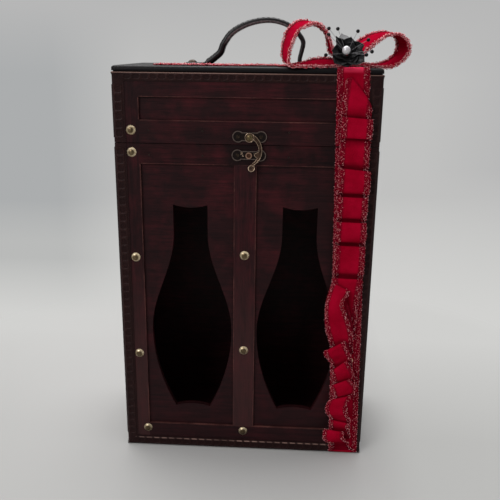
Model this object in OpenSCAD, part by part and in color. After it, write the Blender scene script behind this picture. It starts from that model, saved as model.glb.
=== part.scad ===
// Wooden presentation box for two wine bottles: lift-up lid, swing-hook latch,
// bottle-shaped windows, stitched edge wraps, brass studs, carrying strap and a
// ruffled gift ribbon with a bow. Origin: centre of the base's underside.
// X to the right seen from the front, Y to the back, Z up. Millimetres.

/* [Box] */
// Overall width, over the edge wraps
box_w = 215; // [205:1:240]
// Overall depth, over the edge wraps
box_d = 112; // [106:1:130]
// Height of the closed box, without strap and bow
box_h = 342; // [325:1:370]
// Height of the lid, from the seam to the top
lid_h = 61; // [56:1:76]
// Open gap at the seam, between box and lid
seam_gap = 0.5; // [0.3:0.1:1]

/* [Boards] */
// Thickness of the front and back boards
face_board_t = 5; // [4:0.5:8]
// Thickness of the side boards
side_board_t = 7; // [5:0.5:9]
// Thickness of the base board
base_t = 8; // [5:0.5:12]
// Thickness of the board under the lid's cover
lid_board_t = 5; // [4:0.5:8]
// Thickness of the padded cover on top of the lid
cover_t = 4; // [3.5:0.5:6]
// Radius of the cover's rounded edge
cover_r = 3; // [1:0.5:3]
// Height of the groove between the cover and the stitched strip below it
cover_groove = 0.8; // [0.4:0.1:1.2]
// Thickness of the partition between the bottles
divider_t = 5; // [3:0.5:8]
// How far the partition stops below the seam
divider_drop = 3; // [2:1:60]

/* [Front frame] */
// Thickness of the laths glued on the front boards
lath_t = 2; // [1.5:0.5:3]
// How far the laths lie behind the face of the edge wraps
lath_set = 0.4; // [0.2:0.1:0.8]
// Width of the side stiles
stile_w = 11; // [9:0.5:14]
// Width of the middle stile
mid_stile_w = 18.5; // [14:0.5:24]
// Height of the box's top rail
rail_top_h = 16.5; // [14:0.5:20]
// Height of the box's bottom rail
rail_bottom_h = 13.5; // [12:0.5:18]
// Height of the lid's top rail
lid_rail_top_h = 12; // [9:0.5:14]
// Height of the lid's bottom rail
lid_rail_bottom_h = 18.5; // [17:0.5:20]

/* [Edge wraps] */
// Width of the stitched wraps on each face
wrap_w = 10; // [8:0.5:13]
// Thickness of the wraps on the sides, back and base
wrap_t = 1.2; // [0.8:0.1:2]
// Height of the stitched strip below the lid's cover
lid_strip_h = 8; // [7:0.5:10]
// Radius of the box's outer corners
corner_r = 2.5; // [1:0.5:3]

/* [Windows] */
// Distance from the box's middle to the middle of a window
window_x = 46; // [44:0.5:48]
// Height of a window's foot above the ground
window_foot_z = 41.5; // [30:1:60]
// Height of a window's widest place
window_belly_z = 117; // [100:1:130]
// Height at which a window's neck begins
window_neck_z = 205; // [190:1:212]
// Height of a window's top corners
window_top_z = 230; // [222:1:240]
// Half the width of a window's foot
window_foot_half = 15.5; // [12:0.5:20]
// Half the width of a window at its widest
window_belly_half = 35; // [30:0.5:36]
// Half the width of a window's neck
window_neck_half = 14.5; // [12:0.5:18]
// How far the head and foot edges bow into a window
window_bow = 2.4; // [1:0.1:4]

/* [Studs and brads] */
// Radius of a domed stud's head
stud_r = 4; // [3:0.25:4.5]
// Height of a stud's dome
stud_dome = 2.2; // [1.5:0.1:3]
// Radius of a stud's nail
stud_nail_r = 0.8; // [0.6:0.1:1]
// Distance from the seam up to the lid's studs
stud_above_seam = 10.5; // [8:0.5:12]
// Distance from the seam down to the box's first studs
stud_below_seam = 7.5; // [6:0.5:10]
// Distance from stud to stud down a stile
stud_pitch = 90; // [80:1:95]
// Radius of a finishing brad
brad_r = 0.8; // [0.6:0.1:1]

/* [Latch] */
// Distance from the box's middle to the latch's pivot
latch_x = 3.3; // [0:0.1:6]
// Height of the latch's pivot above the seam
latch_rise = 6.2; // [6:0.1:7]
// Distance from the pivot down to the catch post
latch_span = 14.4; // [14:0.1:15]
// Thickness of a latch plate
plate_t = 0.8; // [0.6:0.1:1.2]
// Radius of a latch plate's lobes
plate_lobe_r = 4.7; // [4.3:0.1:4.9]
// Distance from the plate's middle to a lobe's middle
plate_lobe_x = 9.3; // [8:0.1:10]
// Thickness of the hook
hook_t = 1.2; // [1:0.1:1.6]
// Angle at which the hook's finger tail stands off
hook_tail_angle = 20; // [16:1:28]

/* [Hinges] */
// Distance from the box's middle to the middle of a hinge
hinge_x = 62; // [45:1:75]
// Length of a hinge
hinge_len = 28; // [22:1:34]
// Height of one hinge leaf, from the pin
hinge_leaf_h = 14; // [11:0.5:16]
// Thickness of a hinge leaf
hinge_leaf_t = 1; // [0.8:0.1:1.2]
// Radius of a hinge knuckle
knuckle_r = 2.2; // [2:0.1:2.6]
// Radius of a hinge pin
pin_r = 0.9; // [0.7:0.05:1.1]
// Room left between pin and knuckle, on the radius
pin_play = 0.05; // [0.02:0.01:0.08]

/* [Carrying strap] */
// Width of the strap, front to back
strap_w = 12; // [9:0.5:16]
// Thickness of the strap's padded part
strap_t = 4.4; // [3:0.2:5]
// Thickness of the strap's flat tabs
tab_t = 2; // [1.5:0.1:2.6]
// Height of the strap's middle above the lid
strap_rise = 36; // [32:1:50]

/* [Ribbon] */
// Width of the ribbon
ribbon_w = 26; // [22:1:28]
// Thickness of the ribbon
ribbon_t = 0.6; // [0.4:0.1:0.8]
// Place of the ribbon's middle at the top of the front
ribbon_x = 83.5; // [80:0.5:86]
// How far the ribbon leans to the right at its foot
ribbon_lean = 8.5; // [0:0.5:9]
// How far the ruffles' middle lies to the right of the ribbon's top
ruffle_shift = 3; // [0:0.5:5]
// How far the ruffles stand out
ruffle_out = 5; // [3.5:0.5:7]
// Thickness of the ruffled ribbon
ruffle_t = 0.9; // [0.6:0.1:1.2]

/* [Bow and flower] */
// Reach of the bow's left loop from the knot
bow_reach = 52; // [48:1:56]
// Reach of the longest stamen from the flower's middle
stamen_reach = 20.5; // [17:0.5:22]
// Height of the flower's middle above the lid
flower_rise = 13.5; // [13:0.5:16]
// Reach of the flower's petals from its middle
petal_reach = 12.5; // [11:0.5:14]
// Radius of the pearl
pearl_r = 3.3; // [2.4:0.1:3.4]
// Radius of the beads on the stamens
bead_r = 1.45; // [1:0.05:1.8]

/* [Hidden] */
$fn = 48;
big = 500;                 // longer than anything, for cutting
play = 0.05;               // room round nails, screws and shanks

// Levels and planes
seam_z = box_h - lid_h;
body_top = seam_z - seam_gap / 2;
lid_bottom = seam_z + seam_gap / 2;
cover_z = box_h - cover_t;
front_y = -box_d / 2;
back_y = box_d / 2;
lath_y = front_y + lath_set;           // face of the laths
panel_y = lath_y + lath_t;             // face of the front boards
board_back_y = back_y - wrap_t;        // back of the back boards
board_x = box_w / 2 - wrap_t;          // outside of the side boards
inner_x = board_x - side_board_t;
inner_front = panel_y + face_board_t;
inner_back = board_back_y - face_board_t;
frame_x = box_w / 2 - wrap_w;          // outer edge of the stiles
stile_in = frame_x - stile_w;          // inner edge of the stiles
lid_strip_z = cover_z - lid_strip_h;   // lower edge of the lid's stitched strip

// Studs, brads and their holes, as [x, z] on the front
stud_line = frame_x - stud_r - 0.2;
foot_stud_z = wrap_w + rail_bottom_h * 0.62;
foot_stud_x = stile_in + 1.5;
stud_top_z = seam_z - stud_below_seam;
side_studs = [for (s = [-1, 1], i = [0:2]) [s * stud_line, stud_top_z - i * stud_pitch]];
middle_studs = [for (i = [1:2]) [0, stud_top_z + 2 - i * (stud_pitch - 2)]];
foot_studs = [for (s = [-1, 0, 1]) [s * foot_stud_x, foot_stud_z]];
box_stud_places = concat(side_studs, middle_studs, foot_studs);
lid_stud_places = [for (s = [-1, 1]) [s * stud_line, seam_z + stud_above_seam]];
brad_xs = [-79, -35, 35];
box_brad_places = [for (x = brad_xs) [x, seam_z - 9.5]];
lid_brad_places = [for (x = brad_xs) [x, seam_z + 10.5]];
nail_len = 5;              // how deep studs and latch nails go behind the laths

// Latch places
pivot_z = seam_z + latch_rise;
post_x = latch_x - 0.5;
post_z = pivot_z - latch_span;
plate_upper_z = pivot_z + 0.6;
plate_rim = 0.35;          // height of the raised rim round a plate
plate_rim_w = 0.8;         // width of that rim
plate_waist = 1.2;         // how much narrower a plate is between its lobes, on each side
boss_t = 0.7;              // height of the boss that the hook turns on
hook_play = 0.1;           // room on each face of the hook
hook_y = plate_t + boss_t + hook_play;   // back of the hook, from the laths out
rivet_r = 1.3;
rivet_head_r = 2.6;
rivet_play = 0.06;         // room between rivet and hook, on the radius
post_r = plate_lobe_r - plate_waist - plate_rim_w - 0.1;   // clear of the plate's rim
post_top = plate_t + 2.1;  // front of the post, from the laths out
nail_head_r = 1.5;
latch_nail_r = 0.7;

// Hinge places
hinge_y = board_back_y + knuckle_r + 0.2;
knuckle_gap = 0.3;
hinge_cut = knuckle_r + 0.4;           // a leaf stays this far from the pin beside other knuckles
hinge_screw_r = 1;
hinge_head_r = 2;
hinge_screw_z = hinge_leaf_h * 0.62;
hinge_screw_dx = hinge_len * 0.32;

// Smooth curve through points, by Catmull-Rom pieces of n steps
function pick(p, i) = p[min(max(i, 0), len(p) - 1)];
function blend(a, b, c, d, t) =
    0.5 * (2 * b + (c - a) * t + (2 * a - 5 * b + 4 * c - d) * t * t + (3 * b - a - 3 * c + d) * t * t * t);
function curve(p, n) = concat(
    [for (i = [0:len(p) - 2], j = [0:n - 1])
        blend(pick(p, i - 1), p[i], pick(p, i + 1), pick(p, i + 2), j / n)],
    [p[len(p) - 1]]);
// Outline of a strip of material that follows a path; half is its half thickness at each point
function along(p, i) = pick(p, i + 1) - pick(p, i - 1);
function side_of(p, i) = let (d = along(p, i)) [-d[1], d[0]] / norm(d);
function strip(p, half) = concat(
    [for (i = [0:len(p) - 1]) p[i] + side_of(p, i) * half[i]],
    [for (i = [len(p) - 1:-1:0]) p[i] - side_of(p, i) * half[i]]);
function same(p, h) = [for (q = p) h];

// A flat outline in X and Z, thickened in Y from y0 to y1
module upright(y0, y1) {
    translate([0, y1, 0]) rotate([90, 0, 0]) linear_extrude(y1 - y0) children();
}
// A flat outline in Y and Z, thickened in X from x0 to x1
module crosswise(x0, x1) {
    translate([x0, 0, 0]) rotate([90, 0, 90]) linear_extrude(x1 - x0) children();
}
// A box from its lowest to its highest corner
module block(lo, hi) {
    translate(lo) cube(hi - lo);
}
// Rounds along Y, standing out from the front at given [x, z] places, from y0 to y1
module rounds(places, r, y0, y1) {
    for (p = places) translate([p[0], y1, p[1]]) rotate([90, 0, 0]) cylinder(r = r, h = y1 - y0);
}
// Rectangle with two rounded corners at the top and two at the foot
module rounded_outline(w, h0, h1, r_low, r_high) {
    difference() {
        translate([-w / 2, h0]) square([w, h1 - h0]);
        for (s = [-1, 1]) {
            corner_cut(s * w / 2, h0, -s, 1, r_low);
            corner_cut(s * w / 2, h1, -s, -1, r_high);
        }
    }
}
// What rounding takes off a corner at [x, y]; sx and sy point into the outline
module corner_cut(x, y, sx, sy, r) {
    translate([x, y]) scale_sign(sx, sy) difference() {
        translate([-1, -1]) square(r + 1);
        translate([r, r]) circle(r);
    }
}
module scale_sign(sx, sy) {
    mirror([sx < 0 ? 1 : 0, 0]) mirror([0, sy < 0 ? 1 : 0]) children();
}
// The whole closed box as one rounded body, which trims every outer piece
module envelope() {
    intersection() {
        linear_extrude(box_h) rounded_outline(box_w, front_y, back_y, corner_r, corner_r);
        upright(front_y, back_y) rounded_outline(box_w, 0, box_h, corner_r, cover_r);
        crosswise(-box_w / 2, box_w / 2) rounded_outline(box_d, 0, box_h, corner_r, cover_r);
    }
}

// --- box -------------------------------------------------------------------
// Outline of one window round its own middle line, as [x, z]
function window_half(z) =
    z > window_neck_z ? window_neck_half
    : z > window_belly_z
        ? let (t = (z - window_belly_z) / (window_neck_z - window_belly_z))
            window_neck_half + (window_belly_half - window_neck_half) * (1 + cos(180 * t)) / 2
    : let (t = (window_belly_z - z) / (window_belly_z - window_foot_z))
        window_belly_half - (window_belly_half - window_foot_half) * t * t;
window_steps = 30;
function window_z(i) = window_foot_z + (window_top_z - window_foot_z) * i / window_steps;
bow_steps = 6;
function window_edge(half, z, up) =
    [for (i = [1:bow_steps - 1])
        let (t = 2 * i / bow_steps - 1) [half * t, z + up * window_bow * (1 - t * t)]];
window_outline = concat(
    [for (i = [0:window_steps]) [-window_half(window_z(i)), window_z(i)]],
    window_edge(window_neck_half, window_top_z, -1),
    [for (i = [window_steps:-1:0]) [window_half(window_z(i)), window_z(i)]],
    [for (p = window_edge(window_foot_half, window_foot_z, 1)) [-p[0], p[1]]]);

module windows() {
    for (s = [-1, 1]) translate([s * window_x, 0]) polygon(window_outline);
}
module latch_holes_lower(y1) {
    rounds([[post_x - plate_lobe_x, post_z], [post_x + plate_lobe_x, post_z]], latch_nail_r + play,
           front_y - 5, y1);
    rounds([[post_x, post_z]], rivet_r + play, front_y - 5, y1);
}
module latch_holes_upper(y1) {
    rounds([[latch_x - plate_lobe_x, plate_upper_z], [latch_x + plate_lobe_x, plate_upper_z]],
           latch_nail_r + play, front_y - 5, y1);
    rounds([[latch_x, pivot_z]], rivet_r + play, front_y - 5, y1);
}
module box_nail_holes() {
    deep = lath_y + nail_len + play;
    rounds(box_stud_places, stud_nail_r + play, front_y - 1, deep);
    rounds(box_brad_places, brad_r + play, front_y - 1, deep);
    latch_holes_lower(deep);
}
module lid_nail_holes() {
    deep = lath_y + nail_len + play;
    rounds(lid_stud_places, stud_nail_r + play, front_y - 1, deep);
    rounds(lid_brad_places, brad_r + play, front_y - 1, deep);
    latch_holes_upper(deep);
}

module base_panel() {
    color("saddlebrown") block([-inner_x, inner_front, 0], [inner_x, inner_back, base_t]);
}
module front_panel() {
    color("#4a2220") difference() {
        upright(panel_y, inner_front) difference() {
            translate([-board_x, wrap_t]) square([2 * board_x, body_top - wrap_t]);
            windows();
        }
        box_nail_holes();
    }
}
module back_panel() {
    color("#4a2220") difference() {
        block([-board_x, inner_back, wrap_t], [board_x, board_back_y, body_top]);
        hinge_screw_holes(-1);
    }
}
module side_panel(s) {
    color("#4a2220") block([s > 0 ? inner_x : -board_x, inner_front, wrap_t],
                           [s > 0 ? board_x : -inner_x, inner_back, body_top]);
}
module divider() {
    color("saddlebrown") block([-divider_t / 2, inner_front, base_t],
                               [divider_t / 2, inner_back, body_top - divider_drop]);
}
// A lath on the front, with its nail holes
module lath(x0, x1, z0, z1) {
    color("#3c1a19") difference() {
        block([x0, lath_y, z0], [x1, panel_y, z1]);
        children();
    }
}
module stile(s) {
    x0 = s > 0 ? stile_in : -frame_x;
    lath(x0, x0 + stile_w, wrap_w, body_top) box_nail_holes();
}
module stile_middle() {
    lath(-mid_stile_w / 2, mid_stile_w / 2, wrap_w + rail_bottom_h, body_top - rail_top_h) box_nail_holes();
}
module rail_top() {
    lath(-stile_in, stile_in, body_top - rail_top_h, body_top) box_nail_holes();
}
module rail_bottom() {
    lath(-stile_in, stile_in, wrap_w, wrap_w + rail_bottom_h) box_nail_holes();
}

// Mitred wrap over one upright corner. sx: left or right, sy: front or back.
// foot and head say whether it is mitred there.
module corner_wrap(sx, sy, z0, z1, foot, head) {
    leg_t = sy < 0 ? lath_set + lath_t : wrap_t;
    xo = sx * box_w / 2;
    yo = sy * box_d / 2;
    color("#2c1516") intersection() {
        union() {
            upright(min(yo, yo - sy * leg_t), max(yo, yo - sy * leg_t))
                wrap_outline(xo, sx, z0, z1, foot, head);
            intersection() {
                crosswise(min(xo, xo - sx * wrap_t), max(xo, xo - sx * wrap_t))
                    wrap_outline(yo, sy, z0, z1, foot, head);
                block([-box_w, yo - sy * leg_t - (sy > 0 ? wrap_w : 0), 0],
                      [box_w, yo - sy * leg_t + (sy < 0 ? wrap_w : 0), box_h]);
            }
        }
        envelope();
    }
}
// Long leg of a corner wrap: a strip inwards from edge a, with its mitres
module wrap_outline(a, s, z0, z1, foot, head) {
    polygon([[a, z0], [a, z1], [a - s * wrap_w, z1 - (head ? head_drop : 0)],
             [a - s * wrap_w, z0 + (foot ? wrap_w : 0)]]);
}
head_drop = lid_strip_h;

module corner_wraps_box(places) {
    for (p = places) corner_wrap(p[0], p[1], 0, body_top, true, false);
}
// Mitred wrap along the foot of the front or back
module edge_wrap(sy) {
    leg_t = sy < 0 ? lath_set + lath_t : wrap_t;
    yo = sy * box_d / 2;
    yi = yo - sy * leg_t;
    yu = sy < 0 ? inner_front : inner_back;
    color("#2c1516") intersection() {
        union() {
            upright(min(yo, yi), max(yo, yi))
                polygon([[-box_w / 2, 0], [box_w / 2, 0], [frame_x, wrap_w], [-frame_x, wrap_w]]);
            block([-board_x, min(yi, yu), 0], [board_x, max(yi, yu), wrap_t]);
        }
        envelope();
    }
}
module edge_wrap_side(s) {
    xo = s * box_w / 2;
    xi = s * board_x;
    y0 = panel_y;
    y1 = board_back_y;
    front_rise = lath_set + lath_t;
    color("#2c1516") intersection() {
        union() {
            crosswise(min(xo, xi), max(xo, xi))
                polygon([[y0, 0], [y0, front_rise], [front_y + wrap_w, wrap_w], [back_y - wrap_w, wrap_w],
                         [y1, wrap_t], [y1, 0]]);
            block([min(xi, s * inner_x), inner_front, 0], [max(xi, s * inner_x), inner_back, wrap_t]);
        }
        envelope();
    }
}

// Domed stud with its nail, standing on a face at y
module stud(x, z, y) {
    ball_r = (stud_r * stud_r + stud_dome * stud_dome) / (2 * stud_dome);
    translate([x, y, z]) rotate([90, 0, 0]) {
        intersection() {
            translate([0, 0, stud_dome - ball_r]) sphere(ball_r);
            cylinder(r = stud_r, h = stud_dome);
        }
        translate([0, 0, -nail_len]) cylinder(r = stud_nail_r, h = nail_len + 0.5);
    }
}
module box_studs() {
    color("#b8a16a") for (p = box_stud_places) stud(p[0], p[1], lath_y);
}
module lid_studs() {
    color("#b8a16a") for (p = lid_stud_places) stud(p[0], p[1], lath_y);
}
module brads(places) {
    color("silver") rounds(places, brad_r, lath_y - 0.15, lath_y + nail_len);
}

// --- latch -----------------------------------------------------------------
module plate_outline(inset) {
    for (s = [-1, 1]) translate([s * plate_lobe_x, 0]) circle(plate_lobe_r - inset);
    square([2 * plate_lobe_x, 2 * (plate_lobe_r - plate_waist - inset)], center = true);
}
// Plate with a raised rim, middle at [x, z]
module latch_plate(x, z) {
    translate([x, 0, z]) {
        upright(lath_y - plate_t, lath_y) plate_outline(0);
        upright(lath_y - plate_t - plate_rim, lath_y) difference() {
            plate_outline(0);
            plate_outline(plate_rim_w);
        }
    }
}
module latch_plate_lower() {
    color("#5c4c34") difference() {
        latch_plate(post_x, post_z);
        latch_holes_lower(lath_y + 1);
    }
}
module latch_plate_upper() {
    color("#5c4c34") difference() {
        union() {
            latch_plate(latch_x, plate_upper_z);
            rounds([[latch_x, pivot_z]], 3.5, lath_y - plate_t - boss_t, lath_y);
        }
        latch_holes_upper(lath_y + 1);
    }
}
module latch_post() {
    color("#a06a48") difference() {
        union() {
            rounds([[post_x, post_z]], post_r, lath_y - post_top, lath_y - plate_t);
            rounds([[post_x, post_z]], rivet_r, lath_y - post_top, lath_y + nail_len);
        }
        rounds([[post_x, post_z]], post_r - 0.8, lath_y - post_top - 1, lath_y - post_top + 0.5);
    }
}
module latch_nails(x, z) {
    color("#4a3c28") for (s = [-1, 1]) {
        rounds([[x + s * plate_lobe_x, z]], nail_head_r, lath_y - plate_t - 0.5, lath_y - plate_t);
        rounds([[x + s * plate_lobe_x, z]], latch_nail_r, lath_y - plate_t - 0.5, lath_y + nail_len);
    }
}
rivet_under = hook_y + hook_t + hook_play;
module latch_rivet() {
    dome = 1.1;
    ball_r = (rivet_head_r * rivet_head_r + dome * dome) / (2 * dome);
    color("#8a7850") translate([latch_x, lath_y - rivet_under, pivot_z]) rotate([90, 0, 0]) {
        intersection() {
            translate([0, 0, dome - ball_r]) sphere(ball_r);
            cylinder(r = rivet_head_r, h = dome);
        }
        translate([0, 0, -rivet_under - nail_len]) cylinder(r = rivet_r, h = rivet_under + nail_len + 0.3);
    }
}
// Hook: eye, tapering bow, barb and finger tail, seen from the front round its pivot
hook_eye_r = 3.9;
hook_bow_r = 15;
hook_bow_at = [-4.6, -10.2];
hook_bow_from = 68;
hook_bow_to = -64;
hook_steps = 22;
hook_tail_at = [2, -25];
hook_tail_r = 2.8;
hook_bend_z = -17;
hook_bend_x = 7.25;        // middle of the bow at the bend
function hook_angle(i) = hook_bow_from + (hook_bow_to - hook_bow_from) * i / hook_steps;
function hook_width(i) = 3.7 - 1.5 * i / hook_steps;
hook_bow = concat(
    [for (i = [0:hook_steps]) hook_bow_at + hook_bow_r * [cos(hook_angle(i)), sin(hook_angle(i))]],
    [for (i = [hook_steps:-1:0])
        hook_bow_at + (hook_bow_r - hook_width(i)) * [cos(hook_angle(i)), sin(hook_angle(i))]]);
hook_barb = [[7.4, -11.2], [3.7, -13.2], [4.2, -14.9], [8, -15.8]];
module hook_outline() {
    circle(hook_eye_r);
    polygon(hook_bow);
    polygon(hook_barb);
    translate(hook_tail_at) circle(hook_tail_r);
}
module hook_half(upper) {
    upright(-hook_t, 0) intersection() {
        hook_outline();
        translate([-big / 2, upper ? hook_bend_z : hook_bend_z - big]) square(big);
    }
}
module latch_hook() {
    rod_r = hook_t / 2 + 0.06;             // rounds the bend
    color("#8a7850") translate([latch_x, lath_y - hook_y, pivot_z]) difference() {
        union() {
            hook_half(true);
            translate([0, -hook_t / 2, hook_bend_z]) {
                rotate([-hook_tail_angle, 0, 0]) translate([0, hook_t / 2, -hook_bend_z]) hook_half(false);
                translate([hook_bend_x, 0, 0]) rotate([0, 90, 0]) cylinder(r = rod_r, h = 2.6, center = true);
            }
        }
        rounds([[0, 0]], rivet_r + rivet_play, -hook_t - 1, 1);
    }
}

// --- hinges ----------------------------------------------------------------
// Knuckle i of three, as [from, to] along the hinge
function knuckle(i) = [-hinge_len / 2 + i * hinge_len / 3 + (i > 0 ? knuckle_gap / 2 : 0),
                       -hinge_len / 2 + (i + 1) * hinge_len / 3 - (i < 2 ? knuckle_gap / 2 : 0)];
// up is 1 for the lid's leaf and -1 for the box's
module hinge_leaf(up, own) {
    zs = [seam_z + up * hinge_cut, seam_z + up * hinge_leaf_h];
    difference() {
        union() {
            block([-hinge_len / 2, board_back_y, min(zs)],
                  [hinge_len / 2, board_back_y + hinge_leaf_t, max(zs)]);
            for (i = own) {
                block([knuckle(i)[0], board_back_y, min(seam_z + up * 0.5, zs[0])],
                      [knuckle(i)[1], board_back_y + hinge_leaf_t, max(seam_z + up * 0.5, zs[0])]);
                translate([knuckle(i)[0], hinge_y, seam_z]) rotate([0, 90, 0])
                    cylinder(r = knuckle_r, h = knuckle(i)[1] - knuckle(i)[0]);
            }
        }
        translate([0, hinge_y, seam_z]) rotate([0, 90, 0])
            cylinder(r = pin_r + pin_play, h = big, center = true);
        for (s = [-1, 1]) translate([s * hinge_screw_dx, 0, seam_z + up * hinge_screw_z]) hinge_screw_room();
    }
}
module hinge_screw_room() {
    translate([0, board_back_y - face_board_t, 0]) rotate([-90, 0, 0])
        cylinder(r = hinge_screw_r + play, h = 2 * face_board_t);
}
module hinge_leaves(up, own) {
    color("#8a7850") for (s = [-1, 1]) translate([s * hinge_x, 0, 0]) hinge_leaf(up, own);
}
module hinge_pins() {
    color("#8a7850") for (s = [-1, 1]) translate([s * hinge_x, hinge_y, seam_z]) rotate([0, 90, 0])
        cylinder(r = pin_r, h = hinge_len + 0.6, center = true);
}
module hinge_screw_places(up) {
    for (a = [-1, 1], b = [-1, 1])
        translate([a * hinge_x + b * hinge_screw_dx, board_back_y, seam_z + up * hinge_screw_z]) children();
}
screw_len = 3.5;
module hinge_screw_holes(up) {
    hinge_screw_places(up) rotate([90, 0, 0])
        translate([0, 0, -1]) cylinder(r = hinge_screw_r + play, h = screw_len + 1 + play);
}
module hinge_screws(up) {
    color("#8a7850") hinge_screw_places(up) rotate([90, 0, 0]) {
        translate([0, 0, -hinge_leaf_t]) cylinder(r = hinge_screw_r, h = hinge_leaf_t + screw_len);
        translate([0, 0, -hinge_leaf_t - 0.6]) cylinder(r1 = hinge_head_r - 0.6, r2 = hinge_head_r, h = 0.6);
    }
}

// --- lid -------------------------------------------------------------------
module lid_top_board() {
    color("saddlebrown") difference() {
        block([-inner_x, inner_front, cover_z - lid_board_t], [inner_x, inner_back, cover_z]);
        strap_nail_holes();
    }
}
module lid_cover() {
    color("#231a1b") difference() {
        intersection() {
            block([-box_w / 2, front_y, cover_z], [box_w / 2, back_y, box_h]);
            envelope();
        }
        strap_nail_holes();
    }
}
module lid_front_panel() {
    color("#4a2220") difference() {
        block([-board_x, panel_y, lid_bottom], [board_x, inner_front, cover_z]);
        lid_nail_holes();
    }
}
module lid_back_panel() {
    color("#4a2220") difference() {
        block([-board_x, inner_back, lid_bottom], [board_x, board_back_y, cover_z]);
        hinge_screw_holes(1);
    }
}
module lid_side(s) {
    color("#4a2220") block([s > 0 ? inner_x : -board_x, inner_front, lid_bottom],
                           [s > 0 ? board_x : -inner_x, inner_back, cover_z]);
}
module lid_stile(s) {
    x0 = s > 0 ? stile_in : -frame_x;
    lath(x0, x0 + stile_w, lid_bottom, lid_strip_z) lid_nail_holes();
}
module lid_rail_top() {
    lath(-stile_in, stile_in, lid_strip_z - lid_rail_top_h, lid_strip_z) lid_nail_holes();
}
module lid_rail_bottom() {
    lath(-stile_in, stile_in, lid_bottom, lid_bottom + lid_rail_bottom_h) lid_nail_holes();
}
// Everything below the groove under the cover
module under_groove() {
    block([-box_w, -box_d, 0], [box_w, box_d, cover_z - cover_groove]);
}
module lid_corner_wraps(places) {
    for (p = places) intersection() {
        corner_wrap(p[0], p[1], lid_bottom, cover_z, false, true);
        under_groove();
    }
}
// Mitred strip under the cover's front or back edge
module lid_edge_wrap(sy) {
    leg_t = sy < 0 ? lath_set + lath_t : wrap_t;
    yo = sy * box_d / 2;
    color("#2c1516") intersection() {
        upright(min(yo, yo - sy * leg_t), max(yo, yo - sy * leg_t))
            polygon([[-box_w / 2, cover_z], [box_w / 2, cover_z], [frame_x, lid_strip_z],
                     [-frame_x, lid_strip_z]]);
        envelope();
        under_groove();
    }
}
module lid_edge_wrap_side(s) {
    xo = s * box_w / 2;
    xi = s * board_x;
    slope = lid_strip_h / wrap_w;
    color("#2c1516") intersection() {
        crosswise(min(xo, xi), max(xo, xi))
            polygon([[panel_y, cover_z], [panel_y, cover_z - (lath_set + lath_t) * slope],
                     [front_y + wrap_w, lid_strip_z], [back_y - wrap_w, lid_strip_z],
                     [board_back_y, cover_z - wrap_t * slope], [board_back_y, cover_z]]);
        envelope();
        under_groove();
    }
}

// --- carrying strap --------------------------------------------------------
strap_left = -40;          // where the strap leaves the lid
strap_right = 42;
tab_len = 15;
strap_top = box_h + strap_rise;
strap_knots = [
    [strap_left - tab_len, box_h + tab_t / 2], [strap_left - 7, box_h + tab_t / 2],
    [strap_left, box_h + tab_t / 2], [strap_left + 6, box_h + 4.5], [strap_left + 14, box_h + 9],
    [strap_left + 19, box_h + 17], [strap_left + 24, strap_top - 10.5], [strap_left + 33, strap_top - 3.6],
    [strap_left + 43, strap_top - 0.6], [strap_left + 53, strap_top], [strap_left + 65, strap_top - 1.4],
    [strap_left + 75, strap_top - 5], [strap_right + 1, strap_top - 11.5], [strap_right + 3, box_h + 17.5],
    [strap_right + 1, box_h + 8], [strap_right + 0.6, box_h + 3.6], [strap_right + 3.4, box_h + tab_t / 2],
    [strap_right + 9, box_h + tab_t / 2], [strap_right + tab_len + 1, box_h + tab_t / 2]
];
strap_curve_steps = 3;
strap_path = [for (q = curve(strap_knots, strap_curve_steps)) [q[0], max(q[1], box_h + tab_t / 2)]];
// Padded in the arch, flat towards the tabs
pad_from = 4 * strap_curve_steps;
pad_to = len(strap_path) - 1 - 5 * strap_curve_steps;
function padded(i) = i < pad_from - 1 || i > pad_to + 1 ? tab_t / 2 : strap_t / 2;
module carrying_strap() {
    color("#1d1718") difference() {
        upright(-strap_w / 2, strap_w / 2)
            polygon(strip(strap_path, [for (i = [0:len(strap_path) - 1]) padded(i)]));
        strap_nail_holes();
    }
}
strap_studs_x = [strap_left - tab_len + 5, strap_right + tab_len - 4];
strap_nail_len = 6;
module strap_nail_holes() {
    for (x = strap_studs_x) translate([x, 0, box_h + tab_t - strap_nail_len - play])
        cylinder(r = stud_nail_r + play, h = big);
}
module strap_studs() {
    ball_r = (stud_r * stud_r + stud_dome * stud_dome) / (2 * stud_dome);
    color("#b8a16a") for (x = strap_studs_x) translate([x, 0, box_h + tab_t]) {
        intersection() {
            translate([0, 0, stud_dome - ball_r]) sphere(ball_r);
            cylinder(r = stud_r, h = stud_dome);
        }
        translate([0, 0, -strap_nail_len]) cylinder(r = stud_nail_r, h = strap_nail_len + 0.5);
    }
}

// --- ribbon ----------------------------------------------------------------
// Middle of the ribbon at height z
function ribbon_mid(z) = ribbon_x + ribbon_lean * (1 - z / box_h);
band_top_len = 30;         // how far the band runs back over the lid
band_foot_z = 1;
module ribbon_front(z0, z1) {
    upright(front_y - ribbon_t, front_y) polygon([
        [ribbon_mid(z0) - ribbon_w / 2, z0], [ribbon_mid(z0) + ribbon_w / 2, z0],
        [ribbon_mid(z1) + ribbon_w / 2, z1], [ribbon_mid(z1) - ribbon_w / 2, z1]]);
}
// Room for the studs that the ribbon covers
module stud_room(places) {
    rounds(places, stud_r + 0.3, lath_y - stud_dome - 0.3, lath_y + 1);
}
module ribbon_band_box() {
    color("crimson") difference() {
        ribbon_front(band_foot_z, body_top);
        stud_room(box_stud_places);
    }
}
module ribbon_band_lid() {
    color("crimson") difference() {
        union() {
            ribbon_front(lid_bottom, box_h);
            crosswise(ribbon_x - ribbon_w / 2, ribbon_x + ribbon_w / 2) difference() {
                translate([front_y - ribbon_t, box_h - cover_r])
                    square([band_top_len, cover_r + ribbon_t]);
                translate([front_y, box_h - big]) square(big);
            }
        }
        stud_room(lid_stud_places);
    }
}
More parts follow.
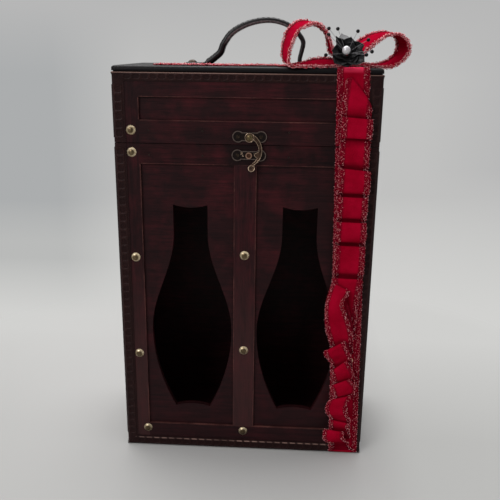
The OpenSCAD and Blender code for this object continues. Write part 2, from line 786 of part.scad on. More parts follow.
// Profile of the pleats in Y and Z: each pleat stands out at the lip along its top and
// runs in behind the next one's lip. shares gives the pleats' relative lengths from the top.
function total(v, i = 0) = i < len(v) ? v[i] + total(v, i + 1) : 0;
function upto(v, n) = total([for (i = [0:max(n - 1, 0)]) n > 0 ? v[i] : 0]);
lip_r = ruffle_t * 1.2;
ruffle_back = front_y - ribbon_t;
function pleat(z0, h, tuck) =
    concat(
        [for (a = [90, 60, 30, 0])
            [ruffle_back - ruffle_out + lip_r * (1 - cos(a)), z0 - lip_r * (1 - sin(a))]],
        [for (t = [0.35, 0.6, 0.8, 1])
            [ruffle_back - tuck - (ruffle_out - tuck) * cos(90 * t),
             z0 - lip_r - (h - lip_r) * t]]);
function ruffle_profile(shares, z0, z1, lift, lift_z) =
    let (one = (z0 - z1) / total(shares))
    concat(
        [for (i = [0:len(shares) - 1])
            for (q = pleat(z0 - one * upto(shares, i), one * shares[i], lift + ruffle_t)) q],
        [[ruffle_back - lift, z1], [ruffle_back - lift, lift_z], [ruffle_back, lift_z], [ruffle_back, z0]]);
lid_pleats = [27, 17, 23];
box_pleats = [22, 21, 20, 29, 10, 46, 11, 14, 14, 18, 22, 12, 9, 12];
ruffle_lap = 16;           // how far the lid's last pleat hangs over the seam
ruffle_tuck = 3;           // room between that pleat and the box's first one
ruffle_foot_z = 3;
lap_gap = stud_dome - lath_set - ribbon_t + 0.3;   // behind the hanging pleat, so that it passes the studs
module ruffle(profile) {
    x = ribbon_x + ruffle_shift;
    crosswise(x - ribbon_w / 2, x + ribbon_w / 2) polygon(profile);
}
module ribbon_ruffle_lid() {
    color("crimson") difference() {
        ruffle(ruffle_profile(lid_pleats, box_h - 10, seam_z - ruffle_lap, lap_gap, lid_bottom + 1));
        stud_room(lid_stud_places);
    }
}
module ribbon_ruffle_box() {
    color("crimson") difference() {
        ruffle(ruffle_profile(box_pleats, seam_z - ruffle_lap - ruffle_tuck, ruffle_foot_z, 0,
                              ruffle_foot_z + 1));
        stud_room(box_stud_places);
    }
}

// Streamer that lies along the lid in front of the strap
streamer_y = [-44, -20];
streamer_end = -75;
streamer_lies = box_h + ribbon_t / 2;
streamer_knots = [
    [streamer_end, streamer_lies], [streamer_end + 18, streamer_lies], [streamer_end + 40, box_h + 1.2],
    [streamer_end + 62, streamer_lies], [streamer_end + 82, box_h + 0.7],
    [streamer_end + 100, streamer_lies], [ribbon_x - ribbon_w / 2 - 1, streamer_lies]];
streamer_path = [for (q = curve(streamer_knots, 3)) [q[0], max(q[1], streamer_lies)]];
module ribbon_streamer() {
    color("crimson") upright(streamer_y[0], streamer_y[1])
        polygon(strip(streamer_path, same(streamer_path, ribbon_t / 2)));
}
// Bow: two loops of one ribbon, pinched together behind the flower
bow_at = [ribbon_x - 3, front_y + 21];
bow_turn = 14;             // the bow's right end lies further back
bow_z = box_h + ribbon_t;
// Loops as shares of bow_reach
function to_reach(shares) = [for (q = shares) q * bow_reach];
left_loop = curve(to_reach([
    [-0.019, 0.127], [-0.221, 0.163], [-0.327, 0.354], [-0.462, 0.542], [-0.702, 0.646],
    [-0.865, 0.558], [-0.971, 0.365], [-1, 0.173], [-0.952, 0.046], [-0.769, 0.027], [-0.5, 0.065],
    [-0.25, 0.081], [0, 0.062]]), 3);
right_loop = curve(to_reach([
    [-0.019, 0.1], [0.154, 0.146], [0.308, 0.346], [0.462, 0.454], [0.654, 0.481], [0.808, 0.419],
    [0.894, 0.269], [0.856, 0.106], [0.731, 0.027], [0.538, 0.017], [0.269, 0.027], [0, 0.027]]), 3);
module loop_of(path) {
    translate([bow_at[0], bow_at[1], bow_z]) rotate([0, 0, bow_turn])
        upright(-ribbon_w / 2 + 2, ribbon_w / 2 - 2)
        polygon(strip(path, same(path, ribbon_t / 2)));
}
knot_r = 4;
knot_front = front_y + 6;  // just behind the flower
module ribbon_bow() {
    color("crimson") {
        loop_of(left_loop);
        loop_of(right_loop);
        translate([bow_at[0], 0, bow_z]) upright(knot_front, bow_at[1] + ribbon_w / 2 - 3)
            translate([0, knot_r + 0.1]) circle(knot_r);
    }
}

// Flower, facing forward and up
flower_at = [bow_at[0] - 2.9, front_y + 4, box_h + flower_rise - 3.2];
flower_tilt = 62;          // from straight up towards the front
hub_r = 4.6;
hub_top = 1.5;
hub_h = 4.5;
disc_r = 3.3;              // disc that the stamens grow from
disc_t = 2;
petal_count = 5;
petal_t = 0.7;
lobe_r = petal_reach * 0.45;
module flower_frame() {
    translate(flower_at) rotate([flower_tilt, 0, -6]) children();
}
// One ring of cupped petals: a shallow bowl cut to round lobes
module whorl(rise, reach, lobe, turn) {
    edge = [for (t = [0:0.25:1])
        [disc_r - 1 + (reach - disc_r + 1) * t, hub_top - petal_t - 0.1 + rise * t * t]];
    intersection() {
        rotate_extrude() polygon(concat(edge, [for (i = [4:-1:0]) edge[i] + [0, petal_t]]));
        translate([0, 0, -1]) linear_extrude(20) rotate(turn) {
            circle(hub_r);
            for (i = [0:petal_count - 1]) rotate(i * 360 / petal_count) translate([0, reach - lobe])
                circle(lobe);
        }
    }
}
module flower_petals() {
    color("#17151a") flower_frame() {
        whorl(5, petal_reach, lobe_r, 12);
        whorl(3.2, petal_reach * 0.66, lobe_r * 0.75, 48);
        translate([0, 0, hub_top - hub_h]) cylinder(r = hub_r, h = hub_h);
    }
}
pearl_at = [0, 0, hub_top + disc_t + pearl_r - 0.5];
module flower_pearl() {
    color("gainsboro") flower_frame() translate(pearl_at) sphere(pearl_r);
}
wire_r = 0.3;
wire_from = 2.7;           // where the wires leave the disc, from its middle
bead_rise = stamen_reach * 0.6;    // height of the beads in the flower
// Each stamen as [turn round the flower, reach of its bead as a share of the longest]
stamens = [[134, 1], [117, 0.795], [146, 0.83], [58, 0.727], [19, 0.83], [-12, 0.96], [-24, 0.815],
           [206, 0.82]];
bead_half = [for (a = [90:-22.5:-67.5]) bead_r * [cos(a), sin(a)]];
module flower_stamens() {
    z0 = hub_top + disc_t - 0.5;
    color("#202020") flower_frame() {
        difference() {
            translate([0, 0, hub_top]) cylinder(r = disc_r, h = disc_t);
            translate(pearl_at) sphere(pearl_r + play);
        }
        for (s = stamens) rotate([0, 0, s[0]]) translate([wire_from, 0, z0])
            rotate([0, atan2(s[1] * stamen_reach - wire_from, bead_rise - z0), 0]) {
                run = norm([s[1] * stamen_reach - wire_from, bead_rise - z0]);
                rotate_extrude($fn = 16) polygon(concat(
                    [[0, 0], [wire_r, 0], [wire_r, run - bead_r]],
                    [for (i = [6:-1:1]) [0, run] + bead_half[i]], [[0, run + bead_r]]));
            }
    }
}

base_panel();
front_panel();
back_panel();
side_panel(-1);  // side_panel_left
side_panel(1);  // side_panel_right
divider();
stile(-1);  // stile_left
stile(1);  // stile_right
stile_middle();
rail_top();
rail_bottom();
corner_wraps_box([[-1, -1]]);  // corner_wrap_front_left
corner_wraps_box([[1, -1]]);  // corner_wrap_front_right
corner_wraps_box([[-1, 1], [1, 1]]);  // corner_wraps_back
edge_wrap(-1);  // edge_wrap_front
for (s = [-1, 1]) edge_wrap_side(s);  // edge_wraps_sides
edge_wrap(1);  // edge_wrap_back
box_studs();
brads(box_brad_places);  // box_brads
latch_plate_lower();
latch_post();
latch_nails(post_x, post_z);  // latch_nails_lower
hinge_leaves(-1, [0, 2]);  // hinge_leaves_lower
hinge_pins();
hinge_screws(-1);  // hinge_screws_lower
ribbon_band_box();
ribbon_ruffle_box();
lid_top_board();
lid_cover();
lid_front_panel();
lid_back_panel();
lid_side(-1);  // lid_side_left
lid_side(1);  // lid_side_right
lid_stile(-1);  // lid_stile_left
lid_stile(1);  // lid_stile_right
lid_rail_top();
lid_rail_bottom();
lid_corner_wraps([[-1, -1]]);  // lid_corner_wrap_left
lid_corner_wraps([[1, -1]]);  // lid_corner_wrap_right
lid_corner_wraps([[-1, 1], [1, 1]]);  // lid_corner_wraps_back
lid_edge_wrap(-1);  // lid_edge_wrap_front
union() {  // lid_edge_wraps_rear
    lid_edge_wrap(1);
    for (s = [-1, 1]) lid_edge_wrap_side(s);
}
lid_studs();
brads(lid_brad_places);  // lid_brads
latch_plate_upper();
latch_rivet();
latch_nails(latch_x, plate_upper_z);  // latch_nails_upper
hinge_leaves(1, [1]);  // hinge_leaves_upper
hinge_screws(1);  // hinge_screws_upper
carrying_strap();
strap_studs();
ribbon_band_lid();
ribbon_ruffle_lid();
ribbon_streamer();
ribbon_bow();
flower_petals();
flower_pearl();
flower_stamens();
latch_hook();
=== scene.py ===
import math
import random

import bpy
import numpy as np
from mathutils import Matrix, Vector, noise


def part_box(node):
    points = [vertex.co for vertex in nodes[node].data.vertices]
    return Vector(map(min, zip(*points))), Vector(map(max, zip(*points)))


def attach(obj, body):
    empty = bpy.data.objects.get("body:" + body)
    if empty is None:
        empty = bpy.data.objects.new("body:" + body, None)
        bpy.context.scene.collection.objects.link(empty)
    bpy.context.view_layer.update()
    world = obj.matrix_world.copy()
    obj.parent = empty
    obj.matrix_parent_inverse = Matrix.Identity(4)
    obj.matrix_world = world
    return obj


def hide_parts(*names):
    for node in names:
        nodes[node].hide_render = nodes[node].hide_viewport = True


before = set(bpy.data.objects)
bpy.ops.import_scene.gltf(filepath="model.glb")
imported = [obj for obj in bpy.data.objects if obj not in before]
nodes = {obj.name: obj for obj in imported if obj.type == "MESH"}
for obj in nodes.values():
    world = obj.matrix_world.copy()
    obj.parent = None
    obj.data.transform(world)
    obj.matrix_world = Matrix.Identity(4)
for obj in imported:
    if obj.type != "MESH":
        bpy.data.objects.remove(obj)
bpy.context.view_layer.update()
scene = bpy.context.scene
scene.view_settings.view_transform = "Standard"

MM = 0.001


# ---- camera and lights

def put(name, data, place):
    """A camera or a light, linked and put in place by its matrix."""
    made = bpy.data.objects.new(name, data)
    scene.collection.objects.link(made)
    made.matrix_world = place
    return made


def look_from(eye, turn, tip, roll, lens):
    """The camera, at a place in millimetres with its three angles in degrees."""
    data = bpy.data.cameras.new("camera")
    data.lens = lens
    data.sensor_width = 36.0
    turned = Matrix.Identity(4)
    for angle, axis in ((turn, "Z"), (tip, "X"), (roll, "Z")):
        turned = turned @ Matrix.Rotation(math.radians(angle), 4, axis)
    scene.camera = put("camera", data, Matrix.Translation(Vector(eye) * MM) @ turned)


def soft_light(name, place, aim, size, power):
    """One large rectangular studio light at a place in metres, aimed at a point."""
    data = bpy.data.lights.new(name, "AREA")
    data.shape = "RECTANGLE"
    data.size, data.size_y = size
    data.energy = power
    turned = (Vector(aim) - Vector(place)).to_track_quat("-Z", "Y").to_matrix().to_4x4()
    put(name, data, Matrix.Translation(place) @ turned).visible_camera = False


look_from(eye=(33.594, -593.402, 354.802), turn=3.083, tip=73.243, roll=0.678, lens=47.893)
soft_light("top_light", (-0.15, 0.45, 1.3), (0.0, 0.0, 0.25), (1.1, 0.9), 13.0)
soft_light("front_light", (-0.8, -1.1, 1.0), (0.0, 0.0, 0.18), (0.7, 0.7), 9.0)


# ---- how looks are built

def paint(*display):
    """A colour given as 0 to 255 display values, as the linear colour a shader takes."""
    shares = [value / 255.0 for value in display]
    return (*[v / 12.92 if v <= 0.04045 else ((v + 0.055) / 1.055) ** 2.4 for v in shares], 1.0)


class Look:
    """A node tree, with one short call for each kind of node that it uses."""

    def __init__(self, tree):
        self.tree = tree
        self.source = self.add("ShaderNodeTexCoord")
        self.place = self.source.outputs["Object"]

    def add(self, kind, settings=None, inputs=None):
        node = self.tree.nodes.new(kind)
        for key, value in (settings or {}).items():
            setattr(node, key, value)
        for key, value in (inputs or {}).items():
            self.feed(node.inputs[key], value)
        return node

    def feed(self, socket, value):
        """Links or sets an input. A colour of three numbers is in 0 to 255 display values."""
        if isinstance(value, bpy.types.NodeSocket):
            self.tree.links.new(value, socket)
        elif socket.type == "RGBA" and len(value) == 3:
            socket.default_value = paint(*value)
        else:
            socket.default_value = value

    def vector(self, operation, first, second=(0, 0, 0), out="Vector"):
        return self.add("ShaderNodeVectorMath", {"operation": operation}, {0: first, 1: second}).outputs[out]

    def noise(self, scale, stretch=(1, 1, 1), detail=3.0, rough=0.55):
        """Smooth random values, scale to the metre."""
        inputs = {"Vector": self.vector("MULTIPLY", self.place, stretch), "Scale": scale, "Detail": detail,
                  "Roughness": rough}
        return self.add("ShaderNodeTexNoise", None, inputs).outputs["Fac"]

    def cells(self, scale, feature="F1", out="Distance"):
        """Cell pattern, scale to the metre."""
        return self.add("ShaderNodeTexVoronoi", {"feature": feature},
                        {"Vector": self.place, "Scale": scale}).outputs[out]

    def maths(self, operation, first, *others):
        """One kind of arithmetic, taken from value to value."""
        for other in others:
            first = self.add("ShaderNodeMath", {"operation": operation}, {0: first, 1: other}).outputs[0]
        return first

    def times(self, *values):
        return self.maths("MULTIPLY", *values)

    def plus(self, *values):
        return self.maths("ADD", *values)

    def minus(self, *values):
        return self.maths("SUBTRACT", *values)

    def most(self, *values):
        return self.maths("MAXIMUM", *values)

    def least(self, *values):
        return self.maths("MINIMUM", *values)

    def sum(self, first, share, second, other):
        """Two values added up, each with its weight."""
        return self.plus(self.times(first, share), self.times(second, other))

    def spread(self, value, low, high, to_low=0.0, to_high=1.0):
        """The value's range from low to high, taken to another range and kept inside it."""
        inputs = {"Value": value, "From Min": low, "From Max": high, "To Min": to_low, "To Max": to_high}
        return self.add("ShaderNodeMapRange", {"clamp": True}, inputs).outputs["Result"]

    def mix(self, share, first, second):
        node = self.add("ShaderNodeMix", {"data_type": "RGBA"}, {"Factor": share})
        colours = [socket for socket in node.inputs if socket.type == "RGBA"]
        self.feed(colours[0], first)
        self.feed(colours[1], second)
        return [socket for socket in node.outputs if socket.type == "RGBA"][0]

    def axis(self, name, place=None):
        return self.add("ShaderNodeSeparateXYZ", None, {0: place or self.place}).outputs[name]

    def fade(self, axis, low, high, to_low=0.0, to_high=1.0):
        """A fade along one of the object's axes, from low to high in metres."""
        return self.spread(self.axis(axis), low, high, to_low, to_high)

    def bump(self, height, strength, distance):
        inputs = {"Height": height, "Strength": strength, "Distance": distance}
        return self.add("ShaderNodeBump", None, inputs).outputs[0]


class Finish(Look):
    """A material's look."""

    def __init__(self, name):
        self.material = bpy.data.materials.new(name)
        self.material.use_nodes = True
        super().__init__(self.material.node_tree)
        self.shader = self.tree.nodes["Principled BSDF"]

    def shade(self, **values):
        """Sets the shader's inputs, by name with _ for a space."""
        for key, value in values.items():
            self.feed(self.shader.inputs[key.replace("_", " ")], value)
        return self.material


# ---- how meshes are built

def new_object(name, points, faces, finish, unit=MM):
    """A smooth mesh object from points in millimetres, or in another unit."""
    mesh = bpy.data.meshes.new(name)
    mesh.from_pydata([Vector(point) * unit for point in points], [], faces)
    mesh.update()
    mesh.materials.append(finish)
    mesh.polygons.foreach_set("use_smooth", [True] * len(mesh.polygons))
    made = bpy.data.objects.new(name, mesh)
    scene.collection.objects.link(made)
    return made


def skin(faces, start, rings, wide, shut=True, back=False, joined=False):
    """Adds the faces between rings of points. shut closes each ring, back turns the faces over, and
    joined links the last ring to the first."""
    for i in range(rings if joined else rings - 1):
        here = start + i * wide
        there = start + (i + 1) % rings * wide
        for k in range(wide if shut else wide - 1):
            after = (k + 1) % wide
            if back:
                faces.append((here + k, there + k, there + after, here + after))
            else:
                faces.append((here + k, here + after, there + after, there + k))


def smooth_path(keys, gap):
    """Points about gap apart on a smooth curve through the keys, which are rows of numbers."""
    keys = [np.array(key, float) for key in keys]
    padded = [2 * keys[0] - keys[1]] + keys + [2 * keys[-1] - keys[-2]]
    path = []
    for i in range(1, len(padded) - 2):
        four = padded[i - 1:i + 3]
        knot = [0.0]
        for first, second in zip(four, four[1:]):
            knot.append(knot[-1] + max(np.linalg.norm(second - first), 0.001) ** 0.5)
        steps = max(2, int(math.ceil(np.linalg.norm(four[2] - four[1]) / gap)))
        for step in range(steps):
            t = knot[1] + (knot[2] - knot[1]) * step / steps
            level = four
            for rise in (1, 2):
                level = [((knot[j + rise] - t) * level[j] + (t - knot[j]) * level[j + 1])
                         / (knot[j + rise] - knot[j]) for j in range(4 - rise)]
            path.append(((knot[2] - t) * level[0] + (t - knot[1]) * level[1]) / (knot[2] - knot[1]))
    path.append(keys[-1])
    return path


def thicken(made, thick):
    """Gives a cloth its thickness in millimetres, half to each side."""
    shell = made.modifiers.new("thickness", "SOLIDIFY")
    shell.thickness = thick * MM
    shell.offset = 0


def eased(share):
    """The share held between 0 and 1, and eased in and out."""
    share = min(max(share, 0), 1)
    return share * share * (3 - 2 * share)


def turns(count):
    """The cosine and the sine of each of so many even steps round a circle."""
    return [(math.cos(2 * math.pi * k / count), math.sin(2 * math.pi * k / count)) for k in range(count)]


def turned(x, y, angle):
    """A point turned round the origin."""
    return x * math.cos(angle) - y * math.sin(angle), x * math.sin(angle) + y * math.cos(angle)


def ring(x, z, radius, step=15):
    """Points round a circle, every so many degrees."""
    return [(x + radius * math.cos(math.radians(a)), z + radius * math.sin(math.radians(a)))
            for a in range(0, 360, step)]


def tube(points, faces, path, radius, sides=8, closed=False):
    """Adds a tube of one radius along a path."""
    start = len(points)
    count = len(path)
    normal = Vector((0.12, 0.31, 0.94))
    for i, spot in enumerate(path):
        before = path[(i - 1) % count] if closed or i else path[0]
        ahead = path[(i + 1) % count] if closed or i < count - 1 else path[-1]
        run = (Vector(ahead) - Vector(before)).normalized()
        side = run.cross(normal)
        if side.length < 0.05:
            side = run.cross(Vector((1, 0, 0)))
        side.normalize()
        normal = side.cross(run).normalized()
        points.extend(Vector(spot) + (side * c + normal * s) * radius for c, s in turns(sides))
    skin(faces, start, count, sides, joined=closed)
    if not closed:
        faces.append(tuple(start + k for k in reversed(range(sides))))
        faces.append(tuple(start + (count - 1) * sides + k for k in range(sides)))


def ball(points, faces, centre, radius, rings=8, sides=14):
    """Adds a bead."""
    start = len(points)
    for i in range(rings + 1):
        lean = math.pi * i / rings
        points.extend(centre + Vector((math.sin(lean) * c, math.sin(lean) * s, math.cos(lean))) * radius
                      for c, s in turns(sides))
    skin(faces, start, rings + 1, sides, back=True)


# ---- stage and sky

EYE_RIGHT = 0.034          # the camera's place, in metres
EYE_BACK = 0.593


def stage_finish():
    """Pale floor that takes the object's shadow near it, and fades into a glowing backdrop whose tones are
    painted light and shade, set by depth and by direction from the camera. To the object's right the glow
    paints out its shadow. Lengths are in metres."""
    made = Finish("studio_stage")
    surface = made.mix(made.noise(3, detail=2), (180, 179, 177), (187, 186, 184))
    made.shade(Base_Color=surface, Roughness=0.9, Specular_IOR_Level=0.1)
    # Painted light and shade in the glow: brightest on the floor just behind the box, darker to the sides and
    # higher up.
    near = made.mix(made.fade("Y", -0.03, 0.2), (187, 187, 185), (209, 209, 207))
    middle = made.mix(made.fade("Y", 0.35, 1.1), near, (192, 192, 191))
    left = made.mix(made.fade("Y", 0.25, 0.5), near, (185, 186, 185))
    left = made.mix(made.fade("Y", 0.6, 0.95), left, (171, 173, 174))
    right = made.mix(made.fade("Y", 0.3, 1.5), made.mix(0.4, near, middle), (184, 184, 184))
    fan = made.maths("DIVIDE", made.minus(made.axis("X"), EYE_RIGHT), made.plus(made.axis("Y"), EYE_BACK))
    far = made.mix(made.spread(fan, -0.35, -0.22, 1.0, 0.0), middle, left)
    far = made.mix(made.spread(fan, 0.2, 0.32), far, right)
    far = made.mix(made.fade("Z", 0.25, 0.55), far, (183, 183, 183))
    glow = made.add("ShaderNodeEmission", None, {"Color": far, "Strength": 1.0})
    from_box = made.vector("MULTIPLY", made.vector("ADD", made.place, (0.0, -0.05, 0.0)), (0.9, 1.0, 0.0))
    # The glow covers the floor away from the box, and to its right, where it paints out the box's shadow.
    away = made.most(made.spread(made.vector("LENGTH", from_box, out="Value"), 0.12, 0.36),
                     made.fade("X", 0.108, 0.16, 0.0, 0.85))
    path = made.add("ShaderNodeLightPath")
    seen = made.most(*[path.outputs[f"Is {kind} Ray"] for kind in ("Camera", "Glossy", "Transmission")])
    both = made.add("ShaderNodeMixShader", None,
                    {0: made.times(away, seen), 1: made.shader.outputs[0], 2: glow.outputs[0]})
    made.feed(made.tree.nodes["Material Output"].inputs["Surface"], both.outputs[0])
    return made.material


def make_stage():
    """A pale floor that curves up into a backdrop behind the object, in metres."""
    front, back, wide, bend, tall, steps = -2.5, 1.4, 9.0, 1.2, 3.5, 12
    profile = [(front, 0.0), (0.0, 0.0), (back, 0.0)]
    for step in range(1, steps + 1):
        angle = math.radians(90 * step / steps)
        profile.append((back + bend * math.sin(angle), bend * (1 - math.cos(angle))))
    profile.append((back + bend, tall))
    faces = []
    skin(faces, 0, len(profile), 2, shut=False)
    points = [(x, y, z) for y, z in profile for x in (-wide, wide)]
    floor = new_object("stage", points, faces, stage_finish(), unit=1.0)


def make_world():
    """Soft light from all round, weaker from below and from behind the camera."""
    scene.world = bpy.data.worlds.new("studio")
    scene.world.use_nodes = True
    sky = Look(scene.world.node_tree)
    way = sky.source.outputs["Generated"]
    from_above = sky.spread(sky.axis("Z", way), -0.4, 0.8, 0.45)
    from_behind = sky.spread(sky.axis("Y", way), -0.9, 0.1, 0.35)
    glow = sky.tree.nodes["Background"]
    sky.feed(glow.inputs["Strength"], sky.times(from_above, from_behind))
    sky.feed(glow.inputs["Color"], (0.98, 0.98, 1.0, 1.0))


make_stage()
make_world()


# ---- the CAD nodes' finishes

DARK = paint(22, 9, 11)
MID = paint(44, 18, 20)
RED = (72, 21, 27)
EDGE_HIGHLIGHT = (108, 68, 62)
FOOT = (126, 90, 86)


def lighter(colour, times):
    """A linear colour, so many times as bright."""
    return (*[min(times * value, 1.0) for value in colour[:3]], 1.0)


def wood(name, along, times=1.0, edges=None, span=None):
    """Stained wood with fine streaks along one axis and red patches. times lightens it. edges are the
    two places across it that get pale painted highlights, and span where along it that is."""
    made = Finish(name)
    stretch = {"X": (0.05, 1, 1), "Z": (1, 1, 0.05), "Y": (1, 0.05, 1)}[along]
    streak = made.sum(made.noise(1400, stretch, detail=4, rough=0.65), 0.55, made.noise(320, stretch), 0.45)
    body = made.mix(made.spread(streak, 0.35, 0.66), lighter(DARK, times), lighter(MID, times))
    warm = made.times(made.spread(made.noise(48), 0.42, 0.72), made.fade("Z", 0.02, 0.2, 0.4, 1.0),
                      made.spread(streak, 0.3, 0.7))
    colour = made.mix(warm, body, RED)
    # Painted highlights: ragged pale lines along the two edges, for light caught where the lath steps down to
    # the panel.
    if edges is not None:
        place = made.axis("Z" if along == "X" else "X")
        inside = made.least(made.minus(place, edges[0]), made.minus(edges[1], place))
        ragged = made.plus(made.times(made.noise(500), 0.0011), -0.00035)
        paler_share = made.times(made.spread(made.minus(inside, ragged), -0.0002, 0.0005, 0.75, 0.0),
                            made.spread(made.noise(38, detail=2), 0.36, 0.62, 0.12, 1.0),
                            made.fade(along, span[0], span[0] + MM),
                            made.fade(along, span[1] - MM, span[1], 1.0, 0.0))
        if along == "Z":
            colour = made.mix(made.fade("Z", 0.09, 0.19, 0.09, 0.0), colour, FOOT)
        colour = made.mix(paler_share, colour, EDGE_HIGHLIGHT)
    return made.shade(Base_Color=colour, Normal=made.bump(streak, 0.35, 0.0003),
                      Roughness=made.spread(streak, 0.3, 0.7, 0.44, 0.6), Specular_IOR_Level=0.12)


OUTER_EDGES = {"stile_left": "low", "stile_right": "high", "rail_bottom": "low", "rail_top": "high"}
LATH_TONES = {"stile_middle": 1.4, "stile_left": 1.05, "rail_top": 0.65}
NO_EDGE = 5 * MM           # how far out an edge is put so that it gets no painted highlight


def lath(node, along):
    """A lath's wood, with pale painted highlights along the edges that meet a sunk panel."""
    low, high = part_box(node)
    pick = 2 if along == "X" else 0
    lid = "lid_" if node.startswith("lid_") else ""
    if along == "Z":
        span = (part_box(lid + "rail_bottom")[1].z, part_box(lid + "rail_top")[0].z)
    else:
        span = (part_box(lid + "stile_left")[1].x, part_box(lid + "stile_right")[0].x)
    outer = OUTER_EDGES.get(node[len(lid):], "")
    edges = (low[pick] - (NO_EDGE if outer == "low" else 0), high[pick] + (NO_EDGE if outer == "high" else 0))
    return wood("lath_" + node, along, LATH_TONES.get(node, 1.0), edges, span)


def leatherette(name, dark, pale, rough, grain=1700, depth=0.00025, sheen=0.0, change=None):
    """Grained imitation leather with slightly paler tops to its grain. change takes the look, its
    colour and its folds, and gives another colour."""
    made = Finish(name)
    folds = made.noise(grain * 0.45, detail=4, rough=0.6)
    grainy = made.sum(made.cells(grain, feature="SMOOTH_F1"), 0.6, folds, 0.5)
    share = made.times(made.spread(grainy, 0.3, 0.75), made.spread(made.noise(70), 0.3, 0.75, 0.35, 1.0))
    colour = made.mix(share, dark, pale)
    if change is not None:
        colour = change(made, colour, folds)
    return made.shade(Base_Color=colour, Normal=made.bump(grainy, 0.5, depth),
                      Roughness=made.spread(grainy, 0.3, 0.8, rough[1], rough[0]),
                      Specular_IOR_Level=0.12, Coat_Weight=sheen, Coat_Roughness=0.35)


RIDGE = (24, 9, 9)
RIDGE_HIGHLIGHT = (146, 116, 106)
DASH = 0.007               # metres from one painted highlight dash to the next
DASH_FOOT = (0.0074, 0.0077)   # metres of height over which the dashes fade in
DASH_HEAD = (0.0088, 0.0094)   # and out again
LID_EDGE = (0.3362, 0.3366)    # and over which the painted highlight on the lid's rolled edge fades in


def ridge_highlights(made, colour, folds):
    """Paints highlights on the embossed band: dashes along the foot of the box where the ridge tops catch the
    light, and a line all along the lid's rolled upper edge. Also darkens the band towards the box's foot.
    """
    along = made.maths("DIVIDE", made.plus(made.axis("X"), made.axis("Y")), DASH)
    off_middle = made.maths("ABSOLUTE", made.minus(made.maths("FRACT", along, 0), 0.5), 0)
    # Painted highlights: dashes on the foot strip's ridge tops, and the line along the lid's rolled edge.
    paler_share = made.times(made.fade("Z", *DASH_FOOT), made.fade("Z", *DASH_HEAD, 1.0, 0.0),
                        made.spread(made.noise(30), 0.35, 0.6, 0.2, 0.75),
                        made.spread(off_middle, 0.3, 0.36, 1.0, 0.1))
    paler_share = made.most(paler_share, made.fade("Z", *LID_EDGE, 0.0, 0.8))
    colour = made.mix(made.fade("Z", 0.1, 0.2, 0.3, 0.0), colour, RIDGE)
    return made.mix(paler_share, colour, RIDGE_HIGHLIGHT)


def arch_inner_highlight(made, colour, folds):
    """Paints a highlight on the strap inside the top of its arch, where it faces the arch's middle."""
    towards = made.vector("MULTIPLY", made.vector("ADD", made.place, (-0.008, 0.0, -0.352)), (-1, 0, -1))
    normal = made.source.outputs["Normal"]
    facing = made.vector("DOT_PRODUCT", made.vector("NORMALIZE", towards), normal, "Value")
    # Painted highlight on the arch's underside.
    inside = made.times(made.spread(facing, 0.0, 0.3, 0.0, 0.9), made.fade("Z", 0.358, 0.364),
                        made.fade("X", 0.03, 0.04, 1.0, 0.0), made.spread(folds, 0.35, 0.6, 0.4, 1.0))
    return made.mix(inside, colour, (122, 117, 118))


def aged_metal(name, bright, tarnish, share=(0.4, 0.68), rough=(0.28, 0.5), grain=420):
    """Metal with darker tarnish in patches and fine scratches."""
    made = Finish(name)
    patch = made.noise(grain, detail=5, rough=0.62)
    scratch = made.noise(2500, (1, 1, 0.12), detail=2)
    tarnished = made.spread(made.sum(patch, 0.85, scratch, 0.15), *share)
    return made.shade(Base_Color=made.mix(tarnished, bright, tarnish), Metallic=0.9,
                      Roughness=made.spread(tarnished, 0, 1, *rough), Normal=made.bump(patch, 0.25, 0.00015))


LATH_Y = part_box("stile_left")[0].y / MM
RUB_BAND = 0.12            # depth over which rubbed metal turns dark


def raised_metal(name, low, rim, proud):
    """Dark antique metal whose parts that stand this far proud of the laths are rubbed bright."""
    made = Finish(name)
    level = -LATH_Y + proud
    raised = made.spread(made.times(made.axis("Y"), -1.0), (level - RUB_BAND) * MM, level * MM)
    patch = made.noise(650, detail=4)
    paler_share = made.times(raised, made.spread(patch, 0.3, 0.6, 0.55, 1.0))
    colour = made.mix(paler_share, made.mix(patch, tuple(0.6 * c for c in low), low), rim)
    return made.shade(Base_Color=colour, Metallic=0.85, Roughness=made.spread(paler_share, 0, 1, 0.5, 0.3),
                      Normal=made.bump(patch, 0.3, 0.0002))


def stud_look():
    """Brass dome with a painted contact shadow round its edge, a browner middle that is partly tarnish and
    partly a painted reflection of the dark room in front, and darker towards the box's foot.
    """
    made = Finish("stud_brass")
    facing = made.times(made.axis("Y", made.source.outputs["Normal"]), -1.0)
    patch = made.noise(700, detail=4)
    body = made.mix(made.spread(patch, 0.35, 0.7), (250, 232, 196), (172, 148, 108))
    # Painted contact shadow: darker where the dome turns away towards its edge.
    body = made.mix(made.spread(facing, 0.1, 0.4), (40, 30, 20), body)
    # Browner middle where the dome faces forward: partly tarnish, partly a painted reflection of the dark
    # room in front.
    middle = made.times(made.spread(facing, 0.78, 0.88), made.spread(patch, 0.3, 0.65, 1.0, 0.8))
    colour = made.mix(middle, body, (70, 52, 28))
    colour = made.mix(made.fade("Z", 0.0, 0.16, 0.5, 0.0), colour, (52, 40, 28))
    return made.shade(Base_Color=colour, Metallic=0.85, Roughness=0.33, Normal=made.bump(patch, 0.35, 0.0003))


def clouded(name, scale, dark, pale, rough, detail=2, alpha=None, **values):
    """A plain finish whose colour and roughness, and its alpha if given, follow the same soft noise."""
    made = Finish(name)
    cloud = made.noise(scale, detail=detail)
    if alpha is not None:
        values["Alpha"] = made.spread(cloud, 0.3, 0.7, *alpha)
    return made.shade(Base_Color=made.mix(cloud, dark, pale),
                      Roughness=made.spread(cloud, 0.3, 0.7, *rough), **values)


